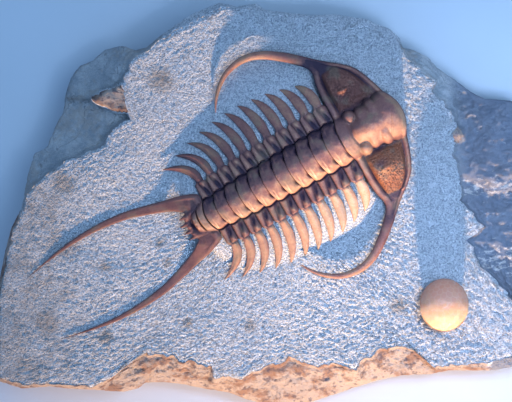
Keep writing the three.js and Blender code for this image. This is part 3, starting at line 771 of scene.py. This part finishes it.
outward = ramp(v, ring, turn)
divide = blend(0.60, 0.30, outward)
raised = rise(v, ring_edge, ring_edge + 1.0) * (1.0 - rise(v, turn - 0.8, turn) * 0.8)
rear_band = hump(x / divide) ** 0.45 * blend(1.00, 0.75, outward) * (x < divide)
lobe = hump((x - divide) / (1.0 - divide)) ** 0.5 * blend(0.35, 1.25, outward)
knob = bell(v, turn - 2.2, 1.2) * bell(x, 0.64, 0.17) * 0.50
hollow = bell(x, divide + 0.18, 0.09) * bell(outward, 0.32, 0.26)
rib_z = rib_top - 0.85 + (rear_band + lobe + knob + 0.1 - hollow * 0.55) * raised
axial = bell(v, ring_edge + 0.1, 0.35) * 0.5
over_z = blend(ring_z, rib_z, rise(v, ring_edge - 0.25, ring_edge + 0.25)) - axial
lip = least(least(x, 1.0 - x) * (1 / 0.05), 1.0)
over_z = over_z - (1.0 - root(1.0 - (1.0 - lip) * (1.0 - lip))) * 0.14
under_z = (u + 38.0) * 0.0278 + 3.5 + gap
body_z = blend(over_z, under_z, down)

# %% Free spine
along = ramp(out_share, BODY, 1.0)
reach = 37.2 - (k - 5.3) * (k - 5.3) * 0.27
sweep = ((k - 1.0) * 0.1) ** 3.0 * 7.6 + 4.3
root_z = rib_top - 0.65
ends = ((middle + 0.3, turn, root_z), (middle + 0.9, blend(turn, reach, 0.66), blend(root_z, tip_level, 0.5)))
ends += ((middle - sweep, reach, tip_level),)
a, b, c = (1.0 - along) * (1.0 - along), along * (1.0 - along) * 2.0, along * along
centre = [a * p + b * q + c * r for p, q, r in zip(*ends)]
way = [(1.0 - along) * (q - p) + along * (r - q) for p, q, r in list(zip(*ends))[:2]]
length = root(way[0] * way[0] + way[1] * way[1])
out = x * 2.0 - 1.0
taper = most(1.0 - along**2.6, 0.0) ** 0.9
half_width = (spine_width - k * 0.06) * 0.5 * (rise(along, 0.0, 0.28) * 0.24 + 0.78) * taper
thick = blend(0.65, 0.25, along) * root(1.0 - along**8.0)
bulk = thick * (root(1.0 - out * out) * 0.85 + 0.15) + bell(out, 0.15, 0.45) * thick * 0.7 * (1.0 - down)
spine_u = centre[0] + way[1] / length * half_width * out
spine_v = centre[1] - way[0] / length * half_width * out
spine_z = centre[2] + bulk * (1.0 - down * 2.0)

# %% Join, place and store
to_spine = rise(out_share, BODY - 0.035, BODY + 0.035)
u_all = blend(u, spine_u, to_spine)
v_all = blend(v, spine_v, to_spine) * hand
z_all = blend(body_z, spine_z, to_spine)
spot = tree.nodes.new("ShaderNodeCombineXYZ")
for slot, item in zip(spot.inputs, (u_all, v_all, k * 9.0)):
    feed(tree, slot, item)
lumps = tree.nodes.new("ShaderNodeTexNoise")
lumps.inputs["Scale"].default_value = 0.30
lumps.inputs["Detail"].default_value = 3.0
tree.links.new(spot.outputs[0], lumps.inputs["Vector"])
lump = (Number(tree, lumps.outputs["Fac"]) - 0.5) * (1.0 - down)
z_all = z_all + lump * blend(0.6, 0.5, to_spine)
turn_cos, turn_sin = math.cos(HEADING), math.sin(HEADING)
world_x = (u_all * turn_cos - v_all * turn_sin + AXIS_ORIGIN[0]) * MM
world_y = (u_all * turn_sin + v_all * turn_cos + AXIS_ORIGIN[1]) * MM
world_z = (z_all + FACE_HEIGHT) * MM

# Ring colour: the front edge and the pits between rings are painted darker as shade, and a thin painted highlight
# runs along the step where the front band catches the light.
ring_crest = 0.57 - rise(x, 0.92, 1.0) * 0.15 + bell(x, step, 0.05) * rise(share, 0.2, 0.8) * 0.25 - pit * 1.6 + lump * 0.8
# The animal's left side, away from the low lamp, is painted darker as shade and its right side lighter as light, most
# towards the ring's ends.
ring_crest = ring_crest - hand * share * 0.42
# The hollow on each rib is painted darker as shade.
rib_crest = (rear_band * 0.75 + lobe * 0.45 + knob * 0.7 - hollow * 1.0) * raised + 0.05
# The axial furrow is painted darker as shade.
body_crest = blend(ring_crest, rib_crest, rise(v, ring_edge - 0.25, ring_edge + 0.25)) - axial * 1.2
# The spines on the animal's left are painted darker as shade and those on its right lighter as light.
spine_crest = 0.54 - hand * 0.20 - k * 0.028 + root(1.0 - out * out) * 0.46
crest_all = blend(body_crest, spine_crest, to_spine) * (1.0 - down)


def store(geometry, name, value, domain="POINT"):
    """Writes a number to the points or faces of a mesh, for the material to read."""
    node = tree.nodes.new("GeometryNodeStoreNamedAttribute")
    node.data_type = "FLOAT"
    node.domain = domain
    tree.links.new(geometry, node.inputs["Geometry"])
    node.inputs["Name"].default_value = name
    feed(tree, node.inputs["Value"], value)
    return node.outputs[0]


def close_tree(geometry, material):
    """Smooth shading, real geometry and the material, out to the group's output."""
    smooth_shade = tree.nodes.new("GeometryNodeSetShadeSmooth")
    tree.links.new(geometry, smooth_shade.inputs["Geometry"])
    realize = tree.nodes.new("GeometryNodeRealizeInstances")
    tree.links.new(smooth_shade.outputs[0], realize.inputs[0])
    finish = tree.nodes.new("GeometryNodeSetMaterial")
    finish.inputs["Material"].default_value = material
    tree.links.new(realize.outputs[0], finish.inputs["Geometry"])
    tree.links.new(finish.outputs[0], group_out.inputs[0])


geometry = store(grid.outputs["Mesh"], "crest_and_shade", crest_all)
join_up = tree.nodes.new("ShaderNodeCombineXYZ")
for slot, item in zip(join_up.inputs, (world_x, world_y, world_z)):
    feed(tree, slot, item)
bend = tree.nodes.new("GeometryNodeSetPosition")
tree.links.new(geometry, bend.inputs["Geometry"])
tree.links.new(join_up.outputs[0], bend.inputs["Position"])
close = tree.nodes.new("GeometryNodeMergeByDistance")
close.inputs["Distance"].default_value = 0.000002
tree.links.new(bend.outputs[0], close.inputs["Geometry"])
close_tree(close.outputs[0], shell)
print("segment tree:", len(tree.nodes), "nodes")


# %% Grow the eleven segments
def grown(name, tree, values, material):
    """A plain mesh object from a Geometry Nodes tree with the given inputs."""
    seed = bpy.data.objects.new(name + "_seed", bpy.data.meshes.new(name + "_seed"))
    bpy.context.scene.collection.objects.link(seed)
    modifier = seed.modifiers.new("grow", "NODES")
    modifier.node_group = tree
    for identifier, value in values.items():
        modifier[identifier] = value
    evaluated = seed.evaluated_get(bpy.context.evaluated_depsgraph_get())
    mesh = bpy.data.meshes.new_from_object(evaluated)
    mesh.name = name
    bpy.data.objects.remove(seed)
    if not mesh.materials:
        mesh.materials.append(material)
    piece = bpy.data.objects.new(name, mesh)
    bpy.context.scene.collection.objects.link(piece)
    return piece


for number in range(1, SEGMENTS + 1):
    piece = grown(f"segment_{number:02d}", segment_tree, {inputs["Segment"]: float(number)}, shell)
    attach(piece, "root")
    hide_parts(f"thorax_segment_{number:02d}")
print("faces in the last segment:", len(piece.data.polygons))

# %% [markdown]
# ## Tail
# The tail shield is short: two rings are fused in it, and it forks into two spines longer than
# the thorax. The short fringe on its rear edge is part of the same plate, so it is drawn in the
# plate's outline.

# %% Tail
TAIL_REAR = [(-46.4, 0), (-46.2, 2.6), (-45.5, 4.8), (-44.4, 6.6), (-45.6, 8.0)]
TAIL_FRONT_V = [0, 2.8, 5.2, 8.5, 12.5]
TAIL_SPINE = [(-42.6, 11.0), (-49.5, 13.3), (-58.5, 16.1), (-67.5, 18.5), (-77.0, 19.8)]
TAIL_SPINE += [(-86.0, 20.2), (-95.0, 19.9), (-104.0, 18.8), (-111.5, 17.5), (-121.0, 15.5)]
TAIL_RINGS = [  # start and end behind the seam, half width in front and behind, height
    (0.0, 3.5, 7.9, 5.6, 3.4),
    (3.7, 6.2, 5.6, 4.0, 2.4),
]
FRINGE = [(1.8, 3.2), (5.0, 3.0)]  # how far from the axis, and how long

half_rear = np.array(TAIL_REAR, float)
half_front = np.array([(seam_at(SEGMENTS, v) - GAP, v) for v in TAIL_FRONT_V])
rear_line = np.concatenate([half_rear[:0:-1] * flip, half_rear])
front_line = np.concatenate([half_front[:0:-1] * flip, half_front])
stops = evenly((rear_line + front_line) / 2, 121)
rear = through(rear_line, stops)
front = through(front_line, stops)
front[:, 0] = seam_at(SEGMENTS, front[:, 1]) - GAP
for middle, long in FRINGE:
    away = np.abs(np.abs(rear[:, 1]) - middle) / 0.85
    rear[:, 0] -= long * np.maximum(0, 1 - away) ** 0.85
uv = rear[:, None] + (front - rear)[:, None] * across[:, None]
u, v = uv[..., 0], uv[..., 1]
bed = rock_under(TAIL_REAR[0][0]) + GAP
plain = bed + 0.9 + 0.6 * across + 0.5 * arc(across)
drop = soft(-u, 46.0, 49.6)
plain = plain - 0.5 * drop
behind = seam_at(SEGMENTS, v) - GAP - u
top = plain
for start, stop, wide_front, wide_back, tall in TAIL_RINGS:
    part = (behind - start) / (stop - start)
    wide = wide_front + (wide_back - wide_front) * np.clip(part, 0, 1)
    arch = (1 - np.minimum(1, np.abs(v) / wide) ** 1.8) ** 0.6
    ring = tall * arch * soft(part, -0.05, 0.10) * (1 - soft(part, 0.86, 1.04))
    top = top + ring
hollow = np.exp(-(((behind - 6.9) / 0.7) ** 2) - (v / 2.4) ** 2)
knobs = np.exp(-(((behind - 8.4) / 1.1) ** 2)) * np.cos(np.clip(v / 1.25, -4.7, 4.7)) ** 2
flank = soft(np.abs(v), 6.5, 8.0) * arc((behind - 0.6) / 3.2) * 0.5
top = top - 0.8 * hollow + 0.8 * knobs * (np.abs(v) < 5.6) + flank
spots = np.stack([u, v, np.zeros_like(u)], -1)
top = top - 0.35 * (1 - np.sqrt(1 - (1 - np.minimum(1, np.minimum(across, 1 - across) / 0.07)) ** 2))
top = top + 0.08 * grain(spots, 1.4, 3)
bottom = bed + (rock_under(-34) - rock_under(TAIL_REAR[0][0])) * across - 0.2 * drop
body = np.stack([u, v, top + (bottom - top) * low], -1)

tail_width = lambda x: 5.4 * (1 - x) + 3.6 * np.exp(-x / 0.06)
tail_thick = lambda x: np.minimum(1.4, 0.8 * tail_width(x))
at = np.linspace(0, 1, len(TAIL_SPINE))
level = 0.05 + 0.25 * at + (bed + 1.35) * np.exp(-((at / 0.104) ** 1.7))
line = [(a, b, c) for (a, b), c in zip(TAIL_SPINE, level)]
spine = spine_loops(line, np.linspace(0.03, 1, 130), tail_width, tail_thick, 4.0)
loops = np.concatenate([spine[::-1] * (1, -1, 1), body, spine])
join = len(spine)
ease(loops, join, 20, 30)
crest_spine = np.full(spine.shape[:2], 0.48)
# The small hollow behind the rings is painted darker as shade.
crest_body = np.clip(0.30 + 0.5 * soft(top, 5.2, 7.5) + 0.3 * knobs + 0.3 * flank, 0, 1) - 0.6 * hollow
tail_crest = np.concatenate([crest_spine, crest_body * (1 - low) + 0.2 * low, crest_spine])
tail = body_from_loops("tail", to_slab(loops), shell, {"crest_and_shade": tail_crest})
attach(tail, "root")
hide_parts("tail_shield")
print("tail faces:", len(tail.data.polygons))

# %% [markdown]
# ## Cystoid
# The shell of the ball is a mosaic of plates with three to seven sides, no two alike. Growing
# plates share a sphere as points that keep a distance from each other do: the points are strewn
# on a sphere, the hull round them joins neighbours with triangles, and the dual mesh turns every
# point into a plate. Each plate is then lifted a little and drawn in, so that it is flat with a
# seam round it.

# %% Cystoid tree
plate_tree = bpy.data.node_groups.new("cystoid_plates", "GeometryNodeTree")
plate_tree.interface.new_socket(name="Geometry", in_out="OUTPUT", socket_type="NodeSocketGeometry")
tree = plate_tree
group_in = tree.nodes.new("NodeGroupInput")
group_out = tree.nodes.new("NodeGroupOutput")
plate_spacing = named_input("Plate spacing", 0.20)
plate_lift = named_input("Plate lift", 0.008)
plate_size = named_input("Plate size", 0.93)


def on_unit_sphere(geometry):
    """Moves every point straight out or in to a distance of 1."""
    place_now = tree.nodes.new("GeometryNodeInputPosition")
    unit = tree.nodes.new("ShaderNodeVectorMath")
    unit.operation = "NORMALIZE"
    tree.links.new(place_now.outputs[0], unit.inputs[0])
    move = tree.nodes.new("GeometryNodeSetPosition")
    tree.links.new(geometry, move.inputs["Geometry"])
    tree.links.new(unit.outputs[0], move.inputs["Position"])
    return move.outputs[0]


def raise_faces(geometry, chosen, height, size):
    """Lifts the chosen faces one by one and scales each about its middle."""
    lift = tree.nodes.new("GeometryNodeExtrudeMesh")
    lift.mode = "FACES"
    tree.links.new(geometry, lift.inputs["Mesh"])
    if chosen:
        tree.links.new(chosen, lift.inputs["Selection"])
    feed(tree, lift.inputs["Offset Scale"], height)
    draw_in = tree.nodes.new("GeometryNodeScaleElements")
    tree.links.new(lift.outputs["Mesh"], draw_in.inputs["Geometry"])
    tree.links.new(lift.outputs["Top"], draw_in.inputs["Selection"])
    feed(tree, draw_in.inputs["Scale"], size)
    return draw_in.outputs[0], lift.outputs["Top"]


ball = tree.nodes.new("GeometryNodeMeshIcoSphere")
ball.inputs["Radius"].default_value = 1.0
ball.inputs["Subdivisions"].default_value = 5
strewn = tree.nodes.new("GeometryNodeDistributePointsOnFaces")
strewn.distribute_method = "POISSON"
tree.links.new(ball.outputs["Mesh"], strewn.inputs["Mesh"])
feed(tree, strewn.inputs["Distance Min"], plate_spacing)
strewn.inputs["Density Max"].default_value = 700.0
strewn.inputs["Seed"].default_value = 7
hull = tree.nodes.new("GeometryNodeConvexHull")
tree.links.new(on_unit_sphere(strewn.outputs["Points"]), hull.inputs[0])
plates = tree.nodes.new("GeometryNodeDualMesh")
tree.links.new(hull.outputs[0], plates.inputs["Mesh"])
tone_of = tree.nodes.new("FunctionNodeRandomValue")
tone_of.inputs["Seed"].default_value = 3
shell_of_plates = store(on_unit_sphere(plates.outputs[0]), "tone", tone_of.outputs[1], "FACE")
raised, is_top = raise_faces(shell_of_plates, None, plate_lift, plate_size)
raised = store(raised, "plate", is_top, "FACE")
raised, is_top = raise_faces(raised, is_top, 0.0, 0.84)
rounded = tree.nodes.new("GeometryNodeSubdivisionSurface")
rounded.inputs["Level"].default_value = 1
tree.links.new(raised, rounded.inputs["Mesh"])
sized = tree.nodes.new("GeometryNodeTransform")
sized.inputs["Scale"].default_value = [half * MM / 1.01 for half in CYSTOID_SEMI]
middle = (CYSTOID_AT[0], CYSTOID_AT[1], FACE_HEIGHT - CYSTOID_SUNK + CYSTOID_SEMI[2])
sized.inputs["Translation"].default_value = [value * MM for value in middle]
tree.links.new(rounded.outputs[0], sized.inputs["Geometry"])
close_tree(sized.outputs[0], calcite)

cystoid = grown("cystoid_ball", plate_tree, {}, calcite)
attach(cystoid, "root")
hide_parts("cystoid")
print("cystoid faces:", len(cystoid.data.polygons))

# %% [markdown]
# ## Slab
# The slab is a sheet of points laid out in rings, like a spider's web: rings up the broken sides,
# rings across the broken band round the face, and rings over the face to its middle. Its outline
# and the edge of the prepared face are lines of measured points, and noise makes the rest. The
# rock also rises under the animal, which stands on the bed that it was found in.

# %% Slab outlines
RIM = [
    (122, 11.2, 22), (120.6, 29.2, 21), (117.5, 41.9, 20), (111.2, 47.2, 20), (99, 48.1, 21),
    (92.7, 51.3, 21), (86.4, 56.2, 22), (78.8, 61.2, 22), (73.8, 66.6, 22), (66.6, 70.2, 23),
    (62.1, 71.1, 24), (60.8, 75.2, 25), (56.7, 79.2, 26), (50.4, 81.5, 27), (45.9, 83.7, 27),
    (31.1, 86, 27), (20.2, 85.5, 27), (6.8, 87.3, 27), (0.5, 87.8, 26), (-4, 90.9, 26),
    (-12.6, 89.5, 26), (-20.2, 91.3, 25), (-32.4, 86.4, 26), (-40.1, 81.5, 26), (-45.9, 77.4, 26),
    (-53.1, 71.5, 25), (-58.5, 69.8, 24), (-62.6, 71.5, 21), (-65.7, 72, 19), (-72.5, 70.2, 17),
    (-78.3, 65.2, 16), (-84.2, 63, 15), (-88.2, 57.1, 15), (-90.5, 49.5, 15), (-91.4, 42.3, 16),
    (-94.5, 36.5, 16), (-99, 25.7, 18), (-104.4, 23.4, 17), (-107.5, 13.1, 17), (-109.4, 2.2, 19),
    (-110.2, -1.4, 20), (-114.8, -10.8, 22), (-117, -19.8, 23), (-118.5, -27, 24), (-121.5, -42.8, 25),
    (-122, -60.8, 25), (-121.5, -79.1, 24), (-109.8, -82.8, 25), (-97.2, -81.9, 25), (-89.5, -82.8, 24),
    (-73.8, -83.7, 22), (-64.4, -84.6, 20), (-56.7, -82.8, 18), (-54.5, -80.5, 17), (-45.9, -80.1, 17),
    (-38.2, -81, 16), (-27.4, -83.2, 15), (-16.2, -85, 14), (-6.8, -88.7, 13), (6.8, -91.3, 12),
    (21.6, -89.1, 13), (31.1, -86, 14), (41.4, -82.4, 15), (51.8, -79.2, 17), (62.1, -77, 18),
    (74.7, -76.5, 20), (82.8, -74.7, 22), (91.4, -74.7, 23), (102.6, -74.7, 24), (115.2, -72.5, 25),
    (120.2, -65.2, 25), (122, -42.8, 24), (121, -15.8, 22),
]
FACE_EDGE = [
    (87.8, 2.2, 2.5), (87.8, 13.1, 2.5), (84.2, 28.4, 2), (86.4, 35.6, 2), (83.2, 43.6, 2.5),
    (75.2, 51.3, 2.5), (76, 55.4, 2.5), (69.3, 60.8, 2.5), (60.3, 72, 2), (55.4, 77.4, 1),
    (31.1, 83.7, 0.6), (6.8, 85, 0.6), (-4, 88.2, 0.6), (-20.2, 88.7, 0.6), (-45.9, 75.2, 0.6),
    (-56.7, 68, 1), (-60.8, 64.4, 3), (-64.8, 54, 5), (-60.3, 38.2, 5), (-68, 34.2, 6),
    (-73.8, 26.1, 5), (-87.8, 21.2, 6), (-97.2, 14.4, 6), (-108.9, 4, 5), (-109.8, -2.2, 3),
    (-113, -10.8, 2), (-117, -27, 1), (-119.7, -42.8, 1), (-120.2, -77.9, 1), (-109.8, -80.5, 1),
    (-76.5, -81.5, 1), (-68.4, -77, 2), (-56.7, -68.4, 3), (-53.1, -66.6, 3), (-42.3, -68.4, 3),
    (-23.9, -73.4, 3), (-22.5, -77, 3), (-12.6, -78.8, 2.5), (0.5, -72.5, 3), (10.8, -68.9, 3),
    (23.9, -72.5, 3), (32.9, -71.1, 3), (41.4, -74.2, 2), (42.8, -69.8, 3), (51.8, -64.8, 3),
    (60.8, -63.9, 3), (66.6, -65.2, 3), (75.2, -72.5, 2), (95, -72, 1.5), (111.2, -68.4, 1.5),
    (117.9, -56.2, 1), (111.2, -41.9, 1.5), (95.9, -25.7, 2.5), (91.4, -16.2, 3), (98.5, -9.5, 2),
]


def line_at(line, angles):
    """Where rays from the slab's middle meet a closed line round it."""
    line = np.array(line, float)
    order = np.argsort(np.arctan2(line[:, 1], line[:, 0]) % (2 * np.pi))
    line = line[order]
    turns = np.arctan2(line[:, 1], line[:, 0]) % (2 * np.pi)
    i = (np.searchsorted(turns, angles % (2 * np.pi), side="right") - 1) % len(line)
    a, b = line[i], line[(i + 1) % len(line)]
    cos, sin = np.cos(angles), np.sin(angles)
    from_a = cos * a[:, 1] - sin * a[:, 0]
    from_b = cos * b[:, 1] - sin * b[:, 0]
    share = (from_a / (from_a - from_b))[:, None]
    return a + (b - a) * share


ROUND = 640
rim_points = np.array(RIM + RIM[:1], float)
run = np.concatenate([[0], np.cumsum(np.linalg.norm(np.diff(rim_points[:, :2], axis=0), axis=1))])
stations = np.linspace(0, run[-1], ROUND, endpoint=False)
rim3 = np.stack([np.interp(stations, run, rim_points[:, axis]) for axis in range(3)], -1)
rim_xy, rim_h = rim3[:, :2], rim3[:, 2]
edge3 = line_at(FACE_EDGE, np.arctan2(rim_xy[:, 1], rim_xy[:, 0]))
edge_drop = edge3[:, 2]
reach = np.linalg.norm(edge3[:, :2], axis=1)
frayed = reach + 2.0 * grain(edge3 * (1, 1, 0), 5.0, 4, 7.0)  # chips make the edge wander
frayed = np.minimum(frayed, 0.985 * np.linalg.norm(rim_xy, axis=1))
edge_xy = edge3[:, :2] * (frayed / reach)[:, None]
print("slab outline:", round(run[-1]), "mm round")

# %% Slab rings
SIDE, BAND, FACE = 10, 26, 116
t = np.linspace(0, 1, SIDE, endpoint=False)[:, None]
side_share = np.where(t < 0.45, 0.955 + 0.03 * t / 0.45, 0.985 + 0.015 * (t - 0.45) / 0.55)
side_xy = rim_xy * side_share[..., None]
side_z = rim_h * t
s = ((1 - np.linspace(0, 1, BAND, endpoint=False)) ** 1.6)[:, None]
band_xy = edge_xy + (rim_xy - edge_xy) * s[..., None]
inner = np.linspace(0, 1, FACE, endpoint=False)
f = (1 - inner * (0.8 + 0.2 * inner**2))[:, None]  # finest where the face is in view
even = np.convolve(np.tile(frayed, 3), np.ones(71) / 71, "same")[ROUND : 2 * ROUND]
out = (even * f + (frayed - even) * f**6) / frayed  # the edge's corners fade out inwards
face_xy = edge_xy * out[..., None]
xy = np.concatenate([side_xy, band_xy, face_xy])
x, y = xy[..., 0], xy[..., 1]
kind = np.repeat([0, 1, 2], [SIDE, BAND, FACE])[:, None]
band_width = np.linalg.norm(rim_xy - edge_xy, axis=1)
whole = np.ones_like(x)
from_edge = np.concatenate([t * 0 + 1, s, f * 0]) * band_width  # outwards from the face, in mm
from_rim = np.concatenate([1 - t * 0, s, f * 0])
up_side = np.concatenate([t, s * 0, f * 0]) * whole
print("slab rings:", len(xy))

# %% [markdown]
# The broken band steps down from the face and then falls to the rim in ledges. On the right, the
# rock broke in two scarps that face the foot of the slab and catch the light. At the upper left, a
# rough tongue of the uppermost layer was left standing on the ledge.

# %% Slab band
rough = grain(np.stack([x, y, from_edge * 0], -1), 9.0, 5, 3.0)
fine = grain(np.stack([x, y, up_side * 9], -1), 2.2, 3, 11.0)
fall = 0.5 * np.clip((from_rim - 0.18) / 0.42, 0, 1) + 0.5 * np.clip((from_rim - 0.6) / 0.4, 0, 1)
step = FACE_HEIGHT - edge_drop
low_z = step + (rim_h - step) * fall
scarps = np.interp(y, [-60, -50, -37, -16, 2.2, 13.5, 47, 60], [26, 26, 23.5, 28, 24, 28.5, 22, 22])
east = soft(x, 84, 89) * soft(y, -60, -50) * (1 - soft(y, 50, 60)) * (1 - soft(from_rim, 0.75, 1))
low_z = low_z + (scarps - low_z) * east
foot = soft(-y, 52, 60) * (1 - soft(x, 93, 107) * 0.8)
worked = np.minimum(1, band_width / 6) * arc(from_rim)
west = soft(-x, 54, 60) * soft(y, 5, 20)  # the smooth ledge at the upper left
low_z = low_z + (0.8 + 0.8 * foot + 0.5 * east - 0.3 * west) * rough * worked
low_z = low_z + 0.4 * worked * (np.round(low_z / 2.2) * 2.2 - low_z) + (0.3 + 0.9 * foot + 2.2 * east) * fine * worked
tongue_width = 7.4 * np.clip(1 - (-61 - x) / 17.5, 0, 1) ** 0.55
tongue = soft(tongue_width - np.abs(y - 47.8) + 0.9 * fine, -0.6, 0.8) * (x < -56) * (kind == 1)
low_z = low_z + (FACE_HEIGHT - 0.5 + 0.4 * fine + 0.3 * rough - low_z) * tongue
band_z = FACE_HEIGHT - 0.2 + (low_z - FACE_HEIGHT + 0.2) * soft(from_edge, 0, 1.7)
crumb = np.hypot(x - 85.3, y - 31.6)
band_z = np.maximum(band_z, FACE_HEIGHT + 2.1 - (crumb / 3.0) ** 2 * 2.3)
print("scarps on the right:", int((east > 0.5).sum()), "points")

# %% [markdown]
# The face itself is not quite flat: it rises and falls by half a millimetre, the edge is worn
# round, and under the animal the rock was left standing. A low bed carries the head. A higher one
# carries the thorax and slopes down on both sides to the tips of its free spines.

# %% Slab face
FACE_CURVE = 0.55
u = (x - AXIS_ORIGIN[0]) * math.cos(HEADING) + (y - AXIS_ORIGIN[1]) * math.sin(HEADING)
v = np.abs((y - AXIS_ORIGIN[1]) * math.cos(HEADING) - (x - AXIS_ORIGIN[0]) * math.sin(HEADING))
inwards = (1 - np.concatenate([t * whole[:SIDE] + 1 - t, s * 0 + whole[:BAND], out])) * frayed
dice = np.random.default_rng(4)
spacing = np.minimum(1.0, np.hypot(x, y) / 95)
stipple_z = grain(np.stack([x, y, 0 * x], -1), 1.05, 2, 2.0)
face_z = FACE_CURVE * grain(np.stack([x, y, 0 * x], -1), 26.0, 2, 5.0) + 0.05 * rough + 0.10 * fine
face_z = face_z + (0.34 + 0.04 * soft(x, -20, 70)) * stipple_z
face_z = face_z + (0.13 + 0.19 * soft(x, -30, 50)) * spacing * dice.normal(0, 1, x.shape)
face_z = face_z - 0.35 * (1 - soft(inwards, 0, 2.0)) ** 2

bed_half = np.interp(u, [-44.4, -43.4, -38.5, -33, -20, 0, 25, 34], [0, 5, 10.2, 13.6, 15.6, 17, 17, 15])
bed_top = rock_under(u)
flank = np.maximum(0, v - bed_half) / (1.33 * np.maximum(bed_half, 2))
bed_z = bed_top - flank * (bed_top + 1) + 1.2 * arc(flank) * soft(-u, -27, -20)
bed_z = np.where((u < seam_at(0, v) - 2 * GAP) & (u > -44.4), bed_z, -9)
head_half = np.interp(u, [28, 30, 37.5, 38.5, 41, 46, 51.5, 55.5, 57.5], [0, 12, 20, 30, 31, 27, 18, 8, 0])
head_z = np.where((u > 28) & (u < 57.5), 1.8 - np.maximum(0, v - head_half) / 1.6, -9)
rise_z = np.minimum(np.maximum(bed_z, head_z), bed_top)
lifted = np.minimum(higher(face_z, rise_z - 0.12, 3.0) - 0.05, np.maximum(face_z, rise_z))
face_z = np.where(rise_z > -1, lifted, face_z)
print("height of the face:", np.round([face_z[-FACE:].min(), face_z[-FACE:].max()], 2))

# %% [markdown]
# The sides are broken too: they bulge in and out, and small bites are gone from the rim. Last, the
# ball gets the hollow that it sits in.

# %% Slab sides and socket
side_rows = np.concatenate([side_z, np.zeros((BAND + FACE, ROUND))])
z = np.where(kind == 0, side_rows, np.where(kind == 1, band_z, FACE_HEIGHT + face_z))
away = np.hypot(x, y)
inward = np.maximum(0, (0.5 + 0.5 * rough) * 1.6 * arc(up_side + 0.001)) * (kind == 0)
inward = inward + np.maximum(0, fine) * 0.5 * (kind < 2) * (z > 1)
xy = xy * (1 - inward / away)[..., None]
far = ((x - CYSTOID_AT[0]) / (CYSTOID_SEMI[0] + GAP)) ** 2 + ((y - CYSTOID_AT[1]) / (CYSTOID_SEMI[1] + GAP)) ** 2
bowl = FACE_HEIGHT - CYSTOID_SUNK + CYSTOID_SEMI[2] - (CYSTOID_SEMI[2] + GAP) * np.sqrt(np.maximum(0, 1 - far))
z = np.where(far < 1, np.minimum(z, bowl), z)
z[0] = 0
points = np.concatenate([xy, np.maximum(z, 0)[..., None]], -1)

# %% Slab zones and mesh
STAINS = [  # iron stains on the face: x, y and radius
    (-47.3, 56.3, 7.0), (-72, -27.9, 2.2), (-98.5, -52.9, 3.6), (-71.1, -59.2, 3.4), (-35.1, -53.2, 2.5),
    (-47.3, -17.3, 2.4), (-44.2, -26.5, 2.6), (-90.5, 10, 3.6), (-6.4, -54.5, 3.4), (60.3, -46, 4.5),
]
stain = sum(np.exp(-(((x - a) ** 2 + (y - b) ** 2) / r**2)) for a, b, r in STAINS)
stain = np.clip(stain, 0, 1) + 0.60 * soft(-x, 50, 115)
outer = np.where(kind == 2, 0.0, 1.0)
zones = {
    "broken": outer * np.maximum(np.maximum(foot, tongue * 0.7), np.maximum(soft(-x, 108, 113), crumb < 4) * 0.9),
    "weathered": outer * (1 - foot) * (1 - tongue) * (1 - 0.75 * soft(y, 66, 78) * (1 - soft(-x, 40, 56))),
    "stained": stain * (kind == 2),
    # where the two scarps are painted lighter as light
    "scarp_painted_light": east * np.maximum(np.exp(-(((y - 8) / 5.5) ** 2)), np.exp(-(((y + 25) / 8) ** 2))),
}
flat = np.concatenate([np.zeros((1, 3)), points.reshape(-1, 3), [[0, 0, z[-1].mean()]]])
index = 1 + np.arange(len(points) * ROUND).reshape(len(points), ROUND)
following = np.roll(index, -1, axis=1)
quads = np.stack([index[:-1], following[:-1], following[1:], index[1:]], -1).reshape(-1, 4)
last = len(flat) - 1
caps = [(0, int(b), int(a)) for a, b in zip(index[0], following[0])]
caps += [(last, int(a), int(b)) for a, b in zip(index[-1], following[-1])]
mesh = bpy.data.meshes.new("slab")
mesh.from_pydata((flat * MM).tolist(), [], quads.tolist() + caps)
for label, zone in zones.items():
    values = np.concatenate([[0], (zone * whole).ravel(), [0]])
    mesh.attributes.new(label, "FLOAT", "POINT").data.foreach_set("value", values)
mesh.polygons.foreach_set("use_smooth", np.ones(len(mesh.polygons), bool))
mesh.materials.append(rock)
slab = bpy.data.objects.new("slab", mesh)
bpy.context.scene.collection.objects.link(slab)
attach(slab, "root")
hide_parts("limestone_slab")
print("slab faces:", len(mesh.polygons))

# %% [markdown]
# ## Finish
# Last, the view layer is brought up to date.

# %% Finish
bpy.context.view_layer.update()
